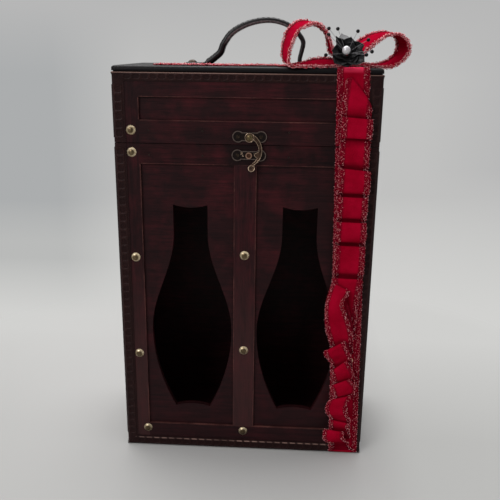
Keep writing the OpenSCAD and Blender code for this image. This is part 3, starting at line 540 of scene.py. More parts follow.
pearl_look = clouded("pearl", 300, (172, 169, 172), (222, 220, 222), (0.16, 0.26), 3, Metallic=0.2,
                     Coat_Weight=0.6, Coat_Roughness=0.1)
bead_look = clouded("black_bead", 700, (5, 5, 6), (13, 12, 14), (0.28, 0.4), Specular_IOR_Level=0.18)
wire_look = clouded("clear_wire", 900, (92, 90, 92), (138, 136, 138), (0.3, 0.4), Specular_IOR_Level=0.3)
gauze_look = clouded("gauze", 3000, (140, 140, 142), (176, 176, 178), (0.6, 0.6), alpha=(0.42, 0.6))
emboss_leather = leatherette("embossed_ridges", RIDGE, (60, 33, 31), (0.38, 0.52), change=ridge_highlights)
strap_leather = leatherette("strap_leatherette", (10, 8, 9), (38, 34, 36), (0.28, 0.42), 1100, 0.0003, 0.3,
                            arch_inner_highlight)
dark_thread = leatherette("dark_thread", (12, 10, 11), (34, 30, 31), (0.5, 0.7), 2600)
rim_metal = aged_metal("rubbed_brass", (176, 152, 130), (88, 68, 54), (0.45, 0.7), (0.28, 0.42), 900)

WRAPS = ("corner_wrap_front_left corner_wrap_front_right corner_wraps_back edge_wrap_front edge_wraps_sides "
         "edge_wrap_back lid_corner_wrap_left lid_corner_wrap_right lid_corner_wraps_back "
         "lid_edge_wrap_front lid_edge_wraps_rear")
UPRIGHTS = "stile_left stile_right stile_middle lid_stile_left lid_stile_right"
RAILS = "rail_top rail_bottom lid_rail_top lid_rail_bottom"

# Each finish, with the nodes that have it
FINISHES = [
    (wood("panel_wood", "X"),
     "front_panel lid_front_panel back_panel lid_back_panel base_panel lid_top_board"),
    (wood("board_wood_upright", "Z"), "divider"),
    (wood("board_wood_deep", "Y"), "side_panel_left side_panel_right lid_side_left lid_side_right"),
    (leatherette("edge_leatherette", (22, 8, 8), (50, 23, 23), (0.45, 0.6)), WRAPS),
    (leatherette("cover_leatherette", (6, 4, 5), (19, 15, 16), (0.36, 0.5), 1300, 0.0003, 0.04), "lid_cover"),
    (aged_metal("antique_brass", (150, 124, 84), (58, 42, 26), (0.42, 0.66), (0.2, 0.42)),
     "hinge_leaves_lower hinge_leaves_upper hinge_pins"),
    (aged_metal("dark_brass", (88, 72, 58), (26, 20, 19), (0.3, 0.6), (0.35, 0.6)),
     "strap_studs latch_nails_lower latch_nails_upper hinge_screws_lower hinge_screws_upper"),
    (aged_metal("steel_brad", (66, 52, 48), (32, 24, 23)), "box_brads lid_brads"),
    (raised_metal("latch_plate", (38, 29, 27), (112, 97, 90), 1.1), "latch_plate_lower latch_plate_upper"),
    (raised_metal("latch_post", (94, 62, 46), (180, 142, 120), 2.85), "latch_post"),
    (aged_metal("hook_brass", (104, 80, 64), (44, 32, 27), (0.35, 0.62), (0.3, 0.5)), "latch_hook"),
    (aged_metal("rivet_brass", (118, 102, 72), (60, 47, 32), rough=(0.3, 0.45), grain=900), "latch_rivet"),
    (stud_look(), "box_studs lid_studs"),
    (pearl_look, "flower_pearl"),
    (bead_look, "flower_stamens"),
]
for along, laths in (("Z", UPRIGHTS), ("X", RAILS)):
    FINISHES += [(lath(name, along), name) for name in laths.split()]
for finish, names in FINISHES:
    for name in names.split():
        mesh = nodes[name].data
        mesh.materials.clear()
        mesh.materials.append(finish)


# ---- cloth looks

def satin_finish(name, deep=None, lit=None):
    """Red satin ribbon: smooth down its middle, with speckled, fraying edges. U runs across it. A
    pleated one gets painted shade in its hollows near the box's face, which deep gives as the depths of dark
    and bright. lit gives the heights over which a ribbon gets a painted highlight, where it bends over the
    lid's edge."""
    made = Finish(name)
    across = made.axis("X", made.source.outputs["UV"])
    edge = made.least(across, made.minus(1.0, across))
    ragged = made.times(made.minus(made.noise(900), 0.5), 0.09)
    fray = made.spread(made.plus(edge, ragged), 0.17, 0.22, 1.0, 0.0)
    speck = made.noise(2300, detail=4, rough=0.7)
    bright = made.spread(made.sum(speck, 1.0, made.cells(1500), -0.25), 0.38, 0.62)
    frayed = made.mix(bright, (104, 2, 22), (200, 50, 70))
    weave = made.noise(1600, (1, 0.3, 1), detail=2)
    gloss = made.spread(made.sum(weave, 0.4, made.noise(60, detail=2), 0.6), 0.35, 0.65)
    smooth = made.mix(gloss, (132, 3, 26), (168, 9, 41))
    height = made.sum(made.times(speck, fray), 2.5, weave, 0.12)
    if lit is not None:
        # Painted highlight on the band where it bends over the lid's front edge.
        smooth = made.mix(made.fade("Z", *lit), smooth, (244, 60, 96))
    colour = made.mix(fray, smooth, frayed)
    if deep is not None:
        # Painted shade: darker where the pleats sink back towards the box's face.
        painted_pleat_shade = made.times(made.spread(made.times(made.axis("Y"), -1.0), *deep, 0.62, 0.0),
                           made.fade("Z", 0.302, 0.31, 1.0, 0.0))
        colour = made.mix(painted_pleat_shade, colour, (34, 0, 6))
    return made.shade(Base_Color=colour, Normal=made.bump(height, 0.6, 0.0004),
                      Roughness=made.spread(fray, 0, 1, 0.5, 0.9), Specular_IOR_Level=0.0,
                      Sheen_Weight=0.04, Sheen_Roughness=0.4, Sheen_Tint=(1.0, 0.1, 0.25, 1.0))


def thread_look():
    """The frayed edges' threads, from dark red to pale pink."""
    made = Finish("frayed_thread")
    share = made.add("ShaderNodeSeparateColor", None, {0: made.cells(1400, out="Color")}).outputs[0]
    ramp = made.mix(made.spread(share, 0.44, 0.72), (176, 6, 38), (255, 190, 194))
    return made.shade(Base_Color=ramp, Roughness=0.75, Specular_IOR_Level=0.12)


def black_satin_finish():
    """The petals' creased black satin."""
    made = Finish("black_satin")
    crease = made.noise(420)
    thread = made.noise(2600, (1, 1, 0.3), detail=2)
    colour = made.mix(made.spread(crease, 0.35, 0.7), (3, 3, 4), (15, 14, 17))
    return made.shade(Base_Color=colour, Normal=made.bump(made.sum(crease, 1.0, thread, 0.2), 0.5, 0.0006),
                      Roughness=0.36, Specular_IOR_Level=0.28, Sheen_Weight=0.05, Sheen_Roughness=0.35)


satin = satin_finish("red_satin")
thread_finish = thread_look()
black_satin = black_satin_finish()


# ---- ribbons and their threads

COLUMNS = 14
ROW_GAP = 1.5
RIBBON_THICK = 0.3
RIDGE_AT = 0.8             # share of a folded ribbon's width where its ridge starts
RIDGE_ROLL = 0.9           # and how far the ridge rolls back
FOLDED = 0.97              # a row that ends before this share of the width is folded over
RIPPLES = (3.1, 0.16)      # the cloth's soft waves: how many across it, and to the millimetre along it
FRAYS = (7.3, 0.45)        # and the quicker ones of its edges
FRAY_DEEP = 1.6            # how much deeper those are


def ribbon_grid(keys, wave, seed, out):
    """Rows of points over a ribbon. Each key is its left edge, its right edge, how far its middle
    bulges along out, and the shares of the ribbon's width where the row starts and ends, as
    (x, y, z, x, y, z, bulge, start, end) in millimetres, or without the last three."""
    rows = []
    shares = []
    run = 0.0
    last = None
    push = np.array(out, float)
    for key in smooth_path([(*key, 0, 0, 1)[:9] for key in keys], ROW_GAP):
        left = key[0:3]
        right = key[3:6]
        middle = (left + right) / 2
        if last is not None:
            run += np.linalg.norm(middle - last)
        last = middle
        line = []
        shares.append((key[7], key[8]))
        for column in range(COLUMNS + 1):
            u = column / COLUMNS
            ripple = wave * noise.noise(Vector((u * RIPPLES[0] + seed, run * RIPPLES[1], seed)))
            edge = 2 * u - 1
            uneven = noise.noise(Vector((run * FRAYS[1], FRAYS[0] * u, seed + 5)))
            fray = wave * FRAY_DEEP * edge ** 4 * uneven
            roll = RIDGE_ROLL * (max(u - RIDGE_AT, 0) / (1 - RIDGE_AT)) ** 2 if key[8] < FOLDED else 0.0
            bulge = key[6] * (1 - edge * edge)
            line.append(left + (right - left) * u + push * (bulge + ripple + fray - roll))
        rows.append(line)
    return rows, shares, run


def ribbon_object(name, grid, body, finish):
    """A ribbon through rows of points, with its width as U and its length as V."""
    rows, shares, run = grid
    faces = []
    skin(faces, 0, len(rows), COLUMNS + 1, shut=False)
    made = new_object(name, [point for line in rows for point in line], faces, finish)
    layer = made.data.uv_layers.new(name="cloth")
    for loop in made.data.loops:
        i, j = divmod(loop.vertex_index, COLUMNS + 1)
        start, end = shares[i]
        layer.data[loop.index].uv = (start + (end - start) * j / COLUMNS, run / 100 * i / (len(rows) - 1))
    thicken(made, RIBBON_THICK)
    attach(made, body)
    return made


CURL_STEPS = 4
CURL_SIDES = 3
CURL_SWAY = 0.25           # of its size, sideways


def curl(points, faces, centre, normal, across, size, wire, turn, sweep):
    """Adds one small curly thread that stands on the cloth: an arc of thin tube."""
    side = normal.cross(across)
    flat = across * math.cos(turn) + side * math.sin(turn)
    start = len(points)
    for step in range(CURL_STEPS + 1):
        angle = sweep * (step / CURL_STEPS - 0.5)
        rise = math.cos(angle) - math.cos(sweep / 2)
        spot = centre + flat * (size * math.sin(angle)) + normal * (size * rise)
        spot = spot + side * (CURL_SWAY * size * math.sin(angle * 2.3 + turn))
        outward = flat * math.sin(angle) + normal * math.cos(angle)
        sideways = flat.cross(normal)
        points.extend(spot + (outward * c + sideways * s) * wire for c, s in turns(CURL_SIDES))
    skin(faces, start, CURL_STEPS + 1, CURL_SIDES)
    end = start + CURL_STEPS * CURL_SIDES
    faces.append((start + 2, start + 1, start))
    faces.append((end, end + 1, end + 2))


FRINGE = 0.2               # share of the ribbon's width that each frayed edge takes
PAST_EDGE = 0.02           # share of it by which the fringe starts outside the cloth
THREAD_SIZE = (0.26, 0.52)
THREAD_WIRE = (0.11, 0.17)
THREAD_SWEEP = (2.2, 4.4)  # radians


def fuzz_on(name, grid, body, seed, flip, shown=None, spacing=0.33, stand=0.5, long=1.0, fringe=FRINGE):
    """The frayed edges' curly threads, on one side of a ribbon's rows: spacing apart, standing out
    past the edge by up to stand, and long times the usual size."""
    rows, shares, _ = grid
    dice = random.Random(seed)
    points, faces = [], []
    for i in range(1, len(rows) - 1):
        here, there = rows[i:i + 2]
        if shown is not None and not shown(here[COLUMNS // 2], there[COLUMNS // 2]):
            continue
        wish = (Vector(there[0]) - Vector(here[0])).length / spacing
        for outward in (-1, 1):
            if outward == 1 and shares[i][1] < FOLDED:
                continue
            for _ in range(int(wish) + (dice.random() < wish - int(wish))):
                share = dice.random() ** 1.2 * fringe
                u = share - PAST_EDGE if outward == -1 else 1 - share + PAST_EDGE
                t = dice.random()
                at = min(max(u * COLUMNS, 0), COLUMNS - 1e-6)
                j = int(at)
                f = at - j
                low, high = [Vector(line[j]) * (1 - f) + Vector(line[j + 1]) * f for line in (here, there)]
                along = high - low
                if along.length < 1e-6:
                    continue
                across = (Vector(here[j + 1]) - Vector(here[j])).normalized()
                normal = across.cross(along.normalized()).normalized() * flip
                centre = low * (1 - t) + high * t
                centre = centre + across * outward * dice.uniform(-0.2, stand) + normal * 0.1
                size = long * dice.uniform(*THREAD_SIZE)
                curl(points, faces, centre, normal, across, size, long * dice.uniform(*THREAD_WIRE),
                     dice.uniform(0, 2 * math.pi), dice.uniform(*THREAD_SWEEP))
    made = new_object(name, points, faces, thread_finish)
    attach(made, body)
    return made


# ---- the ribbon's paths

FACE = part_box("ribbon_band_box")[0].y / MM   # front of the flat band
WRAP_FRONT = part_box("edge_wrap_front")[0].y / MM
LID_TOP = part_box("lid_cover")[1].z / MM
SEAM_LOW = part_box("stile_left")[1].z / MM
SEAM_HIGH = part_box("lid_stile_left")[0].z / MM
BAND_WIDE = 25.4
BAND_MIDDLE = 83.5         # its middle line at the lid's top
BAND_LEAN = 8.5            # and how much further right that is at its foot
BAND_SUNK = 0.25           # from the flat band's front to the middle of the cloth that replaces it
RIBBON_FLAT = 26 * MM
# The pleated ribbons get painted shade in their hollows.
pleated_satin = satin_finish("red_satin_pleated", deep=((1.6 - FACE) * MM, (3.9 - FACE) * MM))


def row(x0, z0, out0, x1, z1, out1, bulge=0.0, start=0.0, end=1.0):
    """A ribbon key on the front of the box: left edge, right edge, bulge and share of the width."""
    return (x0, FACE - out0, z0, x1, FACE - out1, z1, bulge, start, end)


def rows_of(*keys):
    """Ribbon keys from the numbers that row takes."""
    return [row(*key) for key in keys]


def band_row(z):
    """A key of the flat band, which leans a little to the right towards its foot."""
    middle = BAND_MIDDLE + BAND_LEAN * (1 - z / LID_TOP)
    return row(middle - BAND_WIDE / 2, z, -BAND_SUNK, middle + BAND_WIDE / 2, z, -BAND_SUNK)


# Rows of one pleat: share of the fall from its lip to the next, height past that, how far out it
# stands from its lift (or from the face), whether it sags wider there, and its bulge
PLEAT_TOP = [(0, -0.3, -2.5, 0, 0.1), (0, 0, -1.6, 0, 0.2), (0, -0.7, -0.7, 0, 0.3), (0, -2.6, 0, 0, 0.4),
             (0.38, 0, 0.3, 1, 0.4)]
PLEAT_HANGS = [(0.8, 0, 0, 0, 0.3), (0.97, 0, -0.3, 0, 0.2), (1, 0, -0.9, 0, 0.1), (1, 1.4, -1.7, 0, 0),
               (1, 6.0, -3.2, 0, 0), (1, 6.8, -3.8, 0, 0)]
PLEAT_TUCKS = [(0.62, 0, -0.7, 1, 0.3), (0.79, 0, -2.3, 0, 0.1)]
TUCK_FOOT = [(0.92, 0, 1.3), (1, -2, 0.8), (1, -5, 0.7), (1, -5.8, 1.2), (1, -4.6, 2.0)]


def pocket(left, right, next_left, next_right, edges, lift, sag, hang=False):
    """Keys of one pleat: over the lip along its top and down its front. It then goes deep down behind
    the next lip, or, where it hangs over what comes below it, folds under and up behind itself."""
    x0, x1 = edges

    def pleat_row(fall, past, out, spread=0, bulge=0.0):
        return row(x0 - sag * spread, left - fall * (left - next_left) + past, out,
                   x1 + sag * spread, right - fall * (right - next_right) + past, out, bulge)
    keys = [pleat_row(fall, past, lift + out, spread, bulge)
            for fall, past, out, spread, bulge in PLEAT_TOP + (PLEAT_HANGS if hang else PLEAT_TUCKS)]
    return keys + [pleat_row(*foot) for foot in ([(1, 5.6, 1.4)] if hang else TUCK_FOOT)]


# The ruffles from above down: left edge's x, z and distance out, the right edge's, and the bulge
lid_keys = rows_of(
    (78.6, 334.6, 0.6, 82.4, 335.2, 1.2, 0, 0, 0.2), (77.6, 331, 1.4, 86, 331, 2.4, 0.2, 0, 0.38),
    (76.8, 326.6, 2.4, 90.4, 325.8, 3.4, 0.4, 0, 0.58), (76.2, 321.8, 3.3, 94.6, 320.4, 4.2, 0.6, 0, 0.77),
    (75.8, 317.2, 3.9, 97.4, 315.8, 4.5, 0.8, 0, 0.92), (75.6, 312.8, 3.9, 98.8, 311.6, 4, 0.8, 0, 1),
    (75.6, 307.8, 2.2, 99, 306.6, 2.2, 0.2), (75.8, 304.4, 1, 99.4, 302.8, 1),
    (75.8, 299.5, 0.8, 99.6, 298.5, 0.8), (75.8, 298.7, 1.3, 99.8, 297.7, 1.3),
    (75.8, 299.9, 1.9, 99.8, 298.9, 1.9),
)
lid_keys += pocket(305.2, 303.4, 289.0, 288.2, (75.8, 100.0), 6.2, 0.2, hang=True)
lid_keys += rows_of(
    (75.6, 289, 1.6, 99.4, 288.4, 1.6), (75.4, 282, 3.2, 99.4, 281, 3.2, 0.3),
    (75.2, 275, 3.9, 99.2, 274, 3.9, 0.4), (75.2, 269.4, 3.3, 99.2, 268.2, 3.3, 0.2),
    (75.2, 265.8, 1.7, 99.2, 264.2, 1.7), (75.4, 262, 1.2, 99.2, 260.8, 1.2),
)
box_keys = rows_of(
    (75.6, 256, 0.8, 100, 255, 0.8), (75.6, 255, 1.2, 100, 254, 1.2), (75.6, 256.4, 2.4, 100, 255.4, 2.4),
    (75.6, 260.4, 4, 100.2, 258.6, 4),
)
box_keys += pocket(264.8, 262.4, 241.0, 240.6, (75.4, 100.6), 7.0, 0.2)
box_keys += pocket(241.2, 240.6, 220.2, 219.6, (75.6, 99.8), 6.2, 0.1)
box_keys += pocket(220.2, 219.6, 200.0, 199.4, (75.2, 100.2), 6.4, 0.2)
box_keys += pocket(200.0, 199.4, 171.4, 170.8, (75.4, 100.2), 6.2, 0.2)
box_keys += rows_of(
    (75, 171, 4, 99.8, 170.4, 4, 0.2), (74.8, 171.6, 5, 99.8, 171, 4.8, 0.3),
    (74.6, 170.8, 5.6, 99.6, 170, 5.4, 0.4), (75.4, 165, 4.6, 98.6, 163, 4.8, 0.2),
    (76, 156, 1.6, 97.6, 154, 3.6), (76.4, 140, 1, 97, 138, 2.8), (76.8, 122, 0.9, 96.6, 121, 2),
    (77, 115.6, 1, 96.8, 115.4, 1.6), (77, 115, 1.5, 96.8, 115, 2.2), (76.6, 121, 2, 95.6, 121, 3),
    (75.6, 140, 2.8, 91, 142, 4.6, 0.6), (75, 158, 3.6, 87.6, 153, 5.6, 0.6),
    (74.6, 167.6, 4.8, 88.6, 160.6, 6.2, 0.5), (74.4, 168.6, 5.8, 89.2, 161.2, 7.2, 0.5),
    (74, 167.2, 6.8, 89, 159.6, 8.2, 0.8), (71.6, 159, 8.4, 85.6, 155, 9.4, 1.6),
    (69.8, 149, 9, 84, 150, 9.8, 2), (69.4, 138, 8.8, 87, 142, 9, 1.8),
    (70.4, 128, 7.6, 91, 132.5, 7.4, 1.2), (73, 118.6, 5.2, 93.8, 122.6, 5, 0.5),
    (75.6, 110, 2.6, 95.2, 114.6, 2.8), (76.6, 101, 1.3, 96, 105, 1.5), (76.8, 98, 1, 96.2, 101.6, 1.2),
    (76.6, 97.6, 1.6, 96, 101.2, 1.8), (75, 100, 2.6, 94, 106, 3.2), (72.4, 104.2, 4.8, 88.8, 114, 5.6, 0.3),
    (71, 105, 6.2, 87.4, 114.8, 6.8, 0.4), (70.2, 103.8, 7.6, 88.2, 113.2, 8, 0.6),
    (72, 99.6, 7.4, 91.2, 107.6, 7.4, 0.6), (75, 95.4, 5.2, 93.8, 101, 5.2, 0.2),
    (77.6, 89.6, 2.6, 95.4, 95, 2.8), (78.2, 82, 1.2, 96.4, 86, 1.4), (78.2, 79.6, 1, 96.6, 83.6, 1.1),
    (78.2, 79.2, 1.6, 96.6, 83.2, 1.7), (78, 81, 2.6, 94, 88, 3.2), (77.8, 84.8, 4.2, 90.2, 95.6, 5, 0.3),
    (77.6, 85.6, 5.4, 90, 96.6, 6.2, 0.4), (77.8, 84.2, 6.2, 92, 94.8, 7.2, 0.6),
    (78.6, 80.4, 6, 95.8, 88, 6.8, 0.5), (80, 75.6, 4.4, 98.4, 82.2, 4.6, 0.2),
    (79.6, 71.6, 2.4, 98.6, 76.6, 2.6), (79.2, 66, 1.2, 98.4, 70, 1.4), (79.2, 64.2, 1, 98.4, 68.2, 1.2),
    (79, 64, 1.6, 98.4, 68, 1.8), (78.6, 66.4, 2.6, 96.6, 72, 3.2), (77.8, 70.6, 4.4, 93.4, 78.2, 5.4, 0.3),
    (77.4, 71.4, 5.6, 93.6, 79.2, 6.8, 0.4), (77.6, 70.2, 6.6, 96, 77.8, 8, 0.6),
    (78.8, 65.2, 6.6, 100, 73.6, 7.4, 0.6), (80.6, 59.2, 4.8, 100.4, 68, 4.8, 0.3),
    (79.8, 56, 2.4, 98.8, 62.6, 2.8), (79, 54, 1.6, 98.2, 59, 2), (78.8, 54.2, 2.6, 98, 59, 2.8),
    (78.2, 57.2, 4.4, 97.2, 62.6, 4.6, 0.3), (76, 56.2, 6.2, 95.4, 61, 6.2, 0.6),
    (73.8, 49.6, 7.4, 92.8, 50.6, 7, 1), (75.4, 43.6, 6.4, 94.6, 42.6, 6, 0.6),
    (78.2, 39.8, 3.8, 96.6, 37.6, 3.6), (79, 33, 1.6, 97.2, 30, 1.6), (79.2, 30.4, 1.1, 97.4, 27.6, 1.1),
    (79.2, 30, 1.7, 97.4, 27.2, 1.7), (79, 33, 3, 97, 30.2, 3), (78.6, 37.2, 4.2, 96.6, 33.4, 4.2, 0.2),
    (78.4, 36.8, 5, 96.4, 32.8, 5, 0.3), (78.6, 33.2, 4.6, 95.8, 30.6, 4.6, 0.3),
    (79.4, 28.4, 2.6, 96.6, 26.6, 2.6), (80.2, 20, 1.2, 97.8, 18.4, 1.2), (80.2, 18, 1, 97.8, 16.8, 1),
    (80, 17.8, 1.6, 97.6, 16.6, 1.6), (78, 21.6, 3, 96, 21, 3.2), (75, 27.6, 5, 92.6, 25.4, 5.4, 0.3),
    (73.4, 27.6, 6.6, 91.4, 25.8, 7, 0.5), (72.6, 21.8, 7.6, 91.6, 21.6, 8.2, 0.8),
    (75.4, 15.6, 6.2, 93.6, 17.6, 6.2, 0.5), (80.2, 12.4, 2.6, 96.6, 13.4, 2.6), (81, 8, 0.9, 98, 8.4, 0.9),
    (80.6, 4, 0.5, 103, 4, 0.5),
)

BEND_RADIUS = 3.45         # of the band's bend over the lid's front edge
BEND_IN = 3                # from the lid's front and its top to the middle of the bend
lid_band = [band_row(z) for z in (SEAM_HIGH + 0.2, 300, 320, 336, 338.5)]
# Its way round the lid's edge and under the bow, as depth and height
on_top = [(WRAP_FRONT + BEND_IN - BEND_RADIUS * math.cos(math.radians(angle)),
           LID_TOP - BEND_IN + BEND_RADIUS * math.sin(math.radians(angle))) for angle in (20, 45, 70, 90)]
on_top += [(y, LID_TOP + 0.45) for y in (-48, -42, -36, -28)]
TOP_LEFT, TOP_RIGHT = 70.9, 96.2
lid_band += [(TOP_LEFT, y, z, TOP_RIGHT, y, z) for y, z in on_top]

STREAM_FRONT, STREAM_BACK = [corner.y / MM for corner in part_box("ribbon_streamer")]
STREAM_SWAY = 0.6          # of its front edge, from a straight line
# The streamer from left to right: x, and the height of its front edge above the lid's top
STREAM_PATH = [(-76, 0.5), (-58, 0.5), (-46, 0.55), (-34, 0.6), (-20, 0.45), (-4, 0.5), (8, 0.9), (20, 0.8),
               (34, 0.5), (52, 0.5), (69.5, 0.5)]
stream_keys = [(x, STREAM_FRONT + STREAM_SWAY * math.sin(x * 0.11), LID_TOP + z,
                x, STREAM_BACK, LID_TOP + z * 0.8 + 0.1) for x, z in STREAM_PATH]

BOW_AT = Vector((80.5, -35.0, LID_TOP + 0.6))
BOW_TURN = math.radians(14)
LOOP_HALF = 12.5           # half the loops' width
KNOT_DEEP = 12.0
KNOT_HIGH = 9.4
KNOT_WIDE = 11.5
KNOT_PINCH = 0.16          # share of its width that it loses at its top and foot


def bow_point(x, depth, z):
    """A point of the bow: along it, across it towards the back, and up."""
    return BOW_AT + Vector((*turned(x, depth, BOW_TURN), z))


def loop_keys(path):
    """Ribbon keys along a bow's loop. Each point is where the loop's middle runs, along and up, how far
    its front edge parts from that, and how far its back edge does, if it isn't the opposite."""
    keys = []
    for point in path:
        x, z, near_x, near_z, far_x, far_z = (*point, -point[2], -point[3])[:6]
        front = bow_point(x + near_x, -LOOP_HALF, z + near_z)
        keys.append((*front, *bow_point(x + far_x, LOOP_HALF, z + far_z)))
    return keys


LEFT_LOOP = [
    (-1, 6.6, 0, 0), (-12.6, 9, -0.5, -2), (-15.3, 15.8, -1.3, -3.1), (-17.6, 22.6, -1.7, -2.8),
    (-21.8, 28.2, -1, -1.6), (-26.8, 31.6, -0.6, -0.7), (-31.8, 33.5, 0, -1.2), (-36.4, 33.1, 0.2, -2),
    (-40.8, 31.6, 0, -2.3), (-44.3, 29.2, 0.1, -2.2), (-48.6, 22.5, 0.1, -2.8), (-50.9, 15, 0, -2.7),
    (-51.8, 8, -0.1, -2.3), (-51.2, 3, -0.6, -1.8), (-47.2, 0.8, -0.9, -0.6, 0.9, 0.8),
    (-39.3, 1.1, -2.4, -0.8, 2.4, 1), (-32.3, 2.2, -2.4, -1.9, 2.4, 2.2), (-24.5, 3, -2.1, -2.7, 2.1, 2.8),
    (-17.1, 3.4, -1.6, -3, 1.6, 2.9), (0, 3.6, 0, -1),
]
RIGHT_LOOP = [
    (-1, 5.2, 0, 0), (7.3, 10.9, 1, -2), (11.3, 16.2, 0.7, -2.8), (17.7, 20.9, 0.1, -2.9),
    (24.4, 24.2, -1.6, -2.5), (31.6, 26, -3, -1.7), (38.3, 25.5, -3.1, -0.2), (43.2, 22, -1.5, 0.8),
    (46.2, 16.6, 0.2, 0.6), (44.8, 10.4, 0.9, -0.1), (40.6, 5.5, 0.5, -0.8), (32.3, 1.6, -0.2, -1.4),
    (23, 0.9, -0.4, -0.6, 0.4, 0.8), (11.5, 1.1, -0.6, -0.6, 0.6, 1), (0, 1.6, 0, 0),
]


def knot_keys():
    """The short band round the middle of the bow, from under it, up the front and down the back."""
    keys = []
    for turn in range(-95, 266, 24):
        angle = math.radians(turn)
        half = KNOT_WIDE / 2 * (1.0 - KNOT_PINCH * math.sin(angle) ** 2)
        depth = -KNOT_DEEP * math.cos(angle)
        height = KNOT_HIGH / 2 * (1 + math.sin(angle)) - 0.1
        keys.append((*bow_point(-half, depth, height), *bow_point(half, depth, height)))
    return keys


STUD_RADIUS = 4
STUD_CLEAR = 4.5           # how far past a stud the band is lifted
STUD_RAMP = 4.3            # and over what distance it comes down again
STUD_LOW, STUD_TOP = [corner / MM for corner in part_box("box_studs")]
TOP_STUD = (STUD_TOP.x - STUD_RADIUS, STUD_LOW.y - 0.25, STUD_TOP.z - STUD_RADIUS)


def lift_over(rows, stud):
    """Lifts a ribbon's rows where they lie over a stud's head."""
    for line in rows:
        for point in line:
            past = math.hypot(point[0] - stud[0], point[2] - stud[2])
            share = eased((STUD_RADIUS + STUD_CLEAR - past) / STUD_RAMP)
            point[1] -= share * max(point[1] - stud[1], 0)


def lay_ribbon(name, keys, body, replaced, held, rests, out=(0, -1, 0), wave=0.25, seed=1, flip=1, both=False,
               wide=RIBBON_FLAT, finish=satin, stud=None, **threads):
    """One length of ribbon with its frayed threads, on one side of it or on both."""
    grid = ribbon_grid(keys, wave, seed, out)
    if stud is not None:
        lift_over(grid[0], stud)
    cloth = ribbon_object(name, grid, body, finish)
    extras = [fuzz_on(name + "_fray", grid, body, seed, flip, **threads)]
    if both:
        extras.append(fuzz_on(name + "_fray_inner", grid, body, seed + 50, -flip, **threads))
    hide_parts(replaced)


def faces_front(first, second):
    """Whether a row of the ruffle runs down the outside, where it shows."""
    return second[2] < first[2] + 0.2 and second[1] < FACE - 0.6


lay_ribbon("box_band_ribbon", [band_row(z) for z in (1.2, 40, 90, 140, 190, 240, SEAM_LOW - 0.2)], "box",
           "ribbon_band_box", "laid", ["front_panel", "stile_right"], wave=0.12, seed=3, stud=TOP_STUD)
lay_ribbon("box_ruffle_ribbon", box_keys, "box", "ribbon_ruffle_box", "gathered", ["box_band_ribbon"],
           seed=7, flip=-1, shown=faces_front, finish=pleated_satin)
# The lid's band gets a painted highlight where it bends over the lid's front edge.
bent_satin = satin_finish("red_satin_bend", lit=((LID_TOP - 4) * MM, (LID_TOP + 0.2) * MM))
lay_ribbon("lid_band_ribbon", lid_band, "lid", "ribbon_band_lid", "laid", ["lid_front_panel", "lid_cover"],
           wave=0.12, seed=11, finish=bent_satin)
lay_ribbon("lid_ruffle_ribbon", lid_keys, "lid", "ribbon_ruffle_lid", "gathered", ["lid_band_ribbon"],
           seed=13, flip=-1, shown=faces_front, finish=pleated_satin)
UP = (0, 0, 1)
lay_ribbon("streamer_ribbon", stream_keys, "lid", "ribbon_streamer", "laid", ["lid_cover"],
           out=UP, seed=17, flip=-1, stand=1.2, long=1.7, spacing=0.5)
for name, path, seed, flip in (("bow_loop_left", LEFT_LOOP, 19, 1), ("bow_loop_right", RIGHT_LOOP, 23, -1)):
    lay_ribbon(name, loop_keys(path), "lid", "ribbon_bow", "gathered", ["lid_cover"],
               out=UP, seed=seed, flip=flip, both=True, stand=2.0, long=2.0, spacing=0.4, fringe=0.16)
lay_ribbon("bow_knot_wrap", knot_keys(), "lid", "ribbon_bow", "gathered", ["lid_cover"],
           out=UP, wave=0.1, seed=29, wide=KNOT_WIDE * MM)


# ---- the flower

FLOWER_AT = Vector((77.6, -52.0, LID_TOP + 10.3))
FLOWER_TURN = Matrix.Rotation(math.radians(-6), 3, "Z") @ Matrix.Rotation(math.radians(62), 3, "X")
PETAL_CELLS = 14


def in_flower(x, y, z):
    """A point given in the flower's own axes, with z out of its face."""
    return FLOWER_AT + FLOWER_TURN @ Vector((x, y, z))


def petal(points, faces, turn, reach, wide, rise, cup, blunt, crumple, seed):
    """Adds one cupped cloth petal, pressed into soft folds, as a grid from its foot to its tip."""
    start = len(points)
    bend = math.radians(turn)
    for i in range(PETAL_CELLS + 1):
        v = i / PETAL_CELLS
        out = 2.0 + (reach - 2.0) * v
        half = wide * max(math.sin(math.pi * (0.14 + 0.86 * v ** 0.85)), 0.0) ** blunt + 0.02
        for j in range(PETAL_CELLS + 1):
            u = 2 * j / PETAL_CELLS - 1
            fold = crumple * v * noise.noise(Vector((u * 1.2 + seed, v * 1.6, seed * 1.7)))
            roll = 0.8 * max(v - 0.75, 0) ** 2 * 16 * (0.4 + 0.6 * noise.noise(Vector((u + seed, 2.2, seed))))
            x = out * (1 - 0.1 * u * u * v) - roll * 0.3
            y = half * u
            z = 1.2 + rise * v ** 1.6 + cup * u * u * math.sin(math.pi * min(v + 0.1, 1)) + fold - roll * 0.7
            points.append(in_flower(*turned(x, y, bend), z))
    skin(faces, start, PETAL_CELLS + 1, PETAL_CELLS + 1, shut=False)


def cloth_petals(name, petals, finish, thick):
    """One piece of cloth petals, each from its own numbers."""
    shape = ([], [])
    for number, numbers in enumerate(petals):
        petal(*shape, *numbers, 3.1 * number + 0.7)
    made = new_object(name, *shape, finish)
    thicken(made, thick)
    smooth = made.modifiers.new("smooth", "SUBSURF")
    smooth.levels = 1
    smooth.render_levels = 1
    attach(made, "lid")
    return made


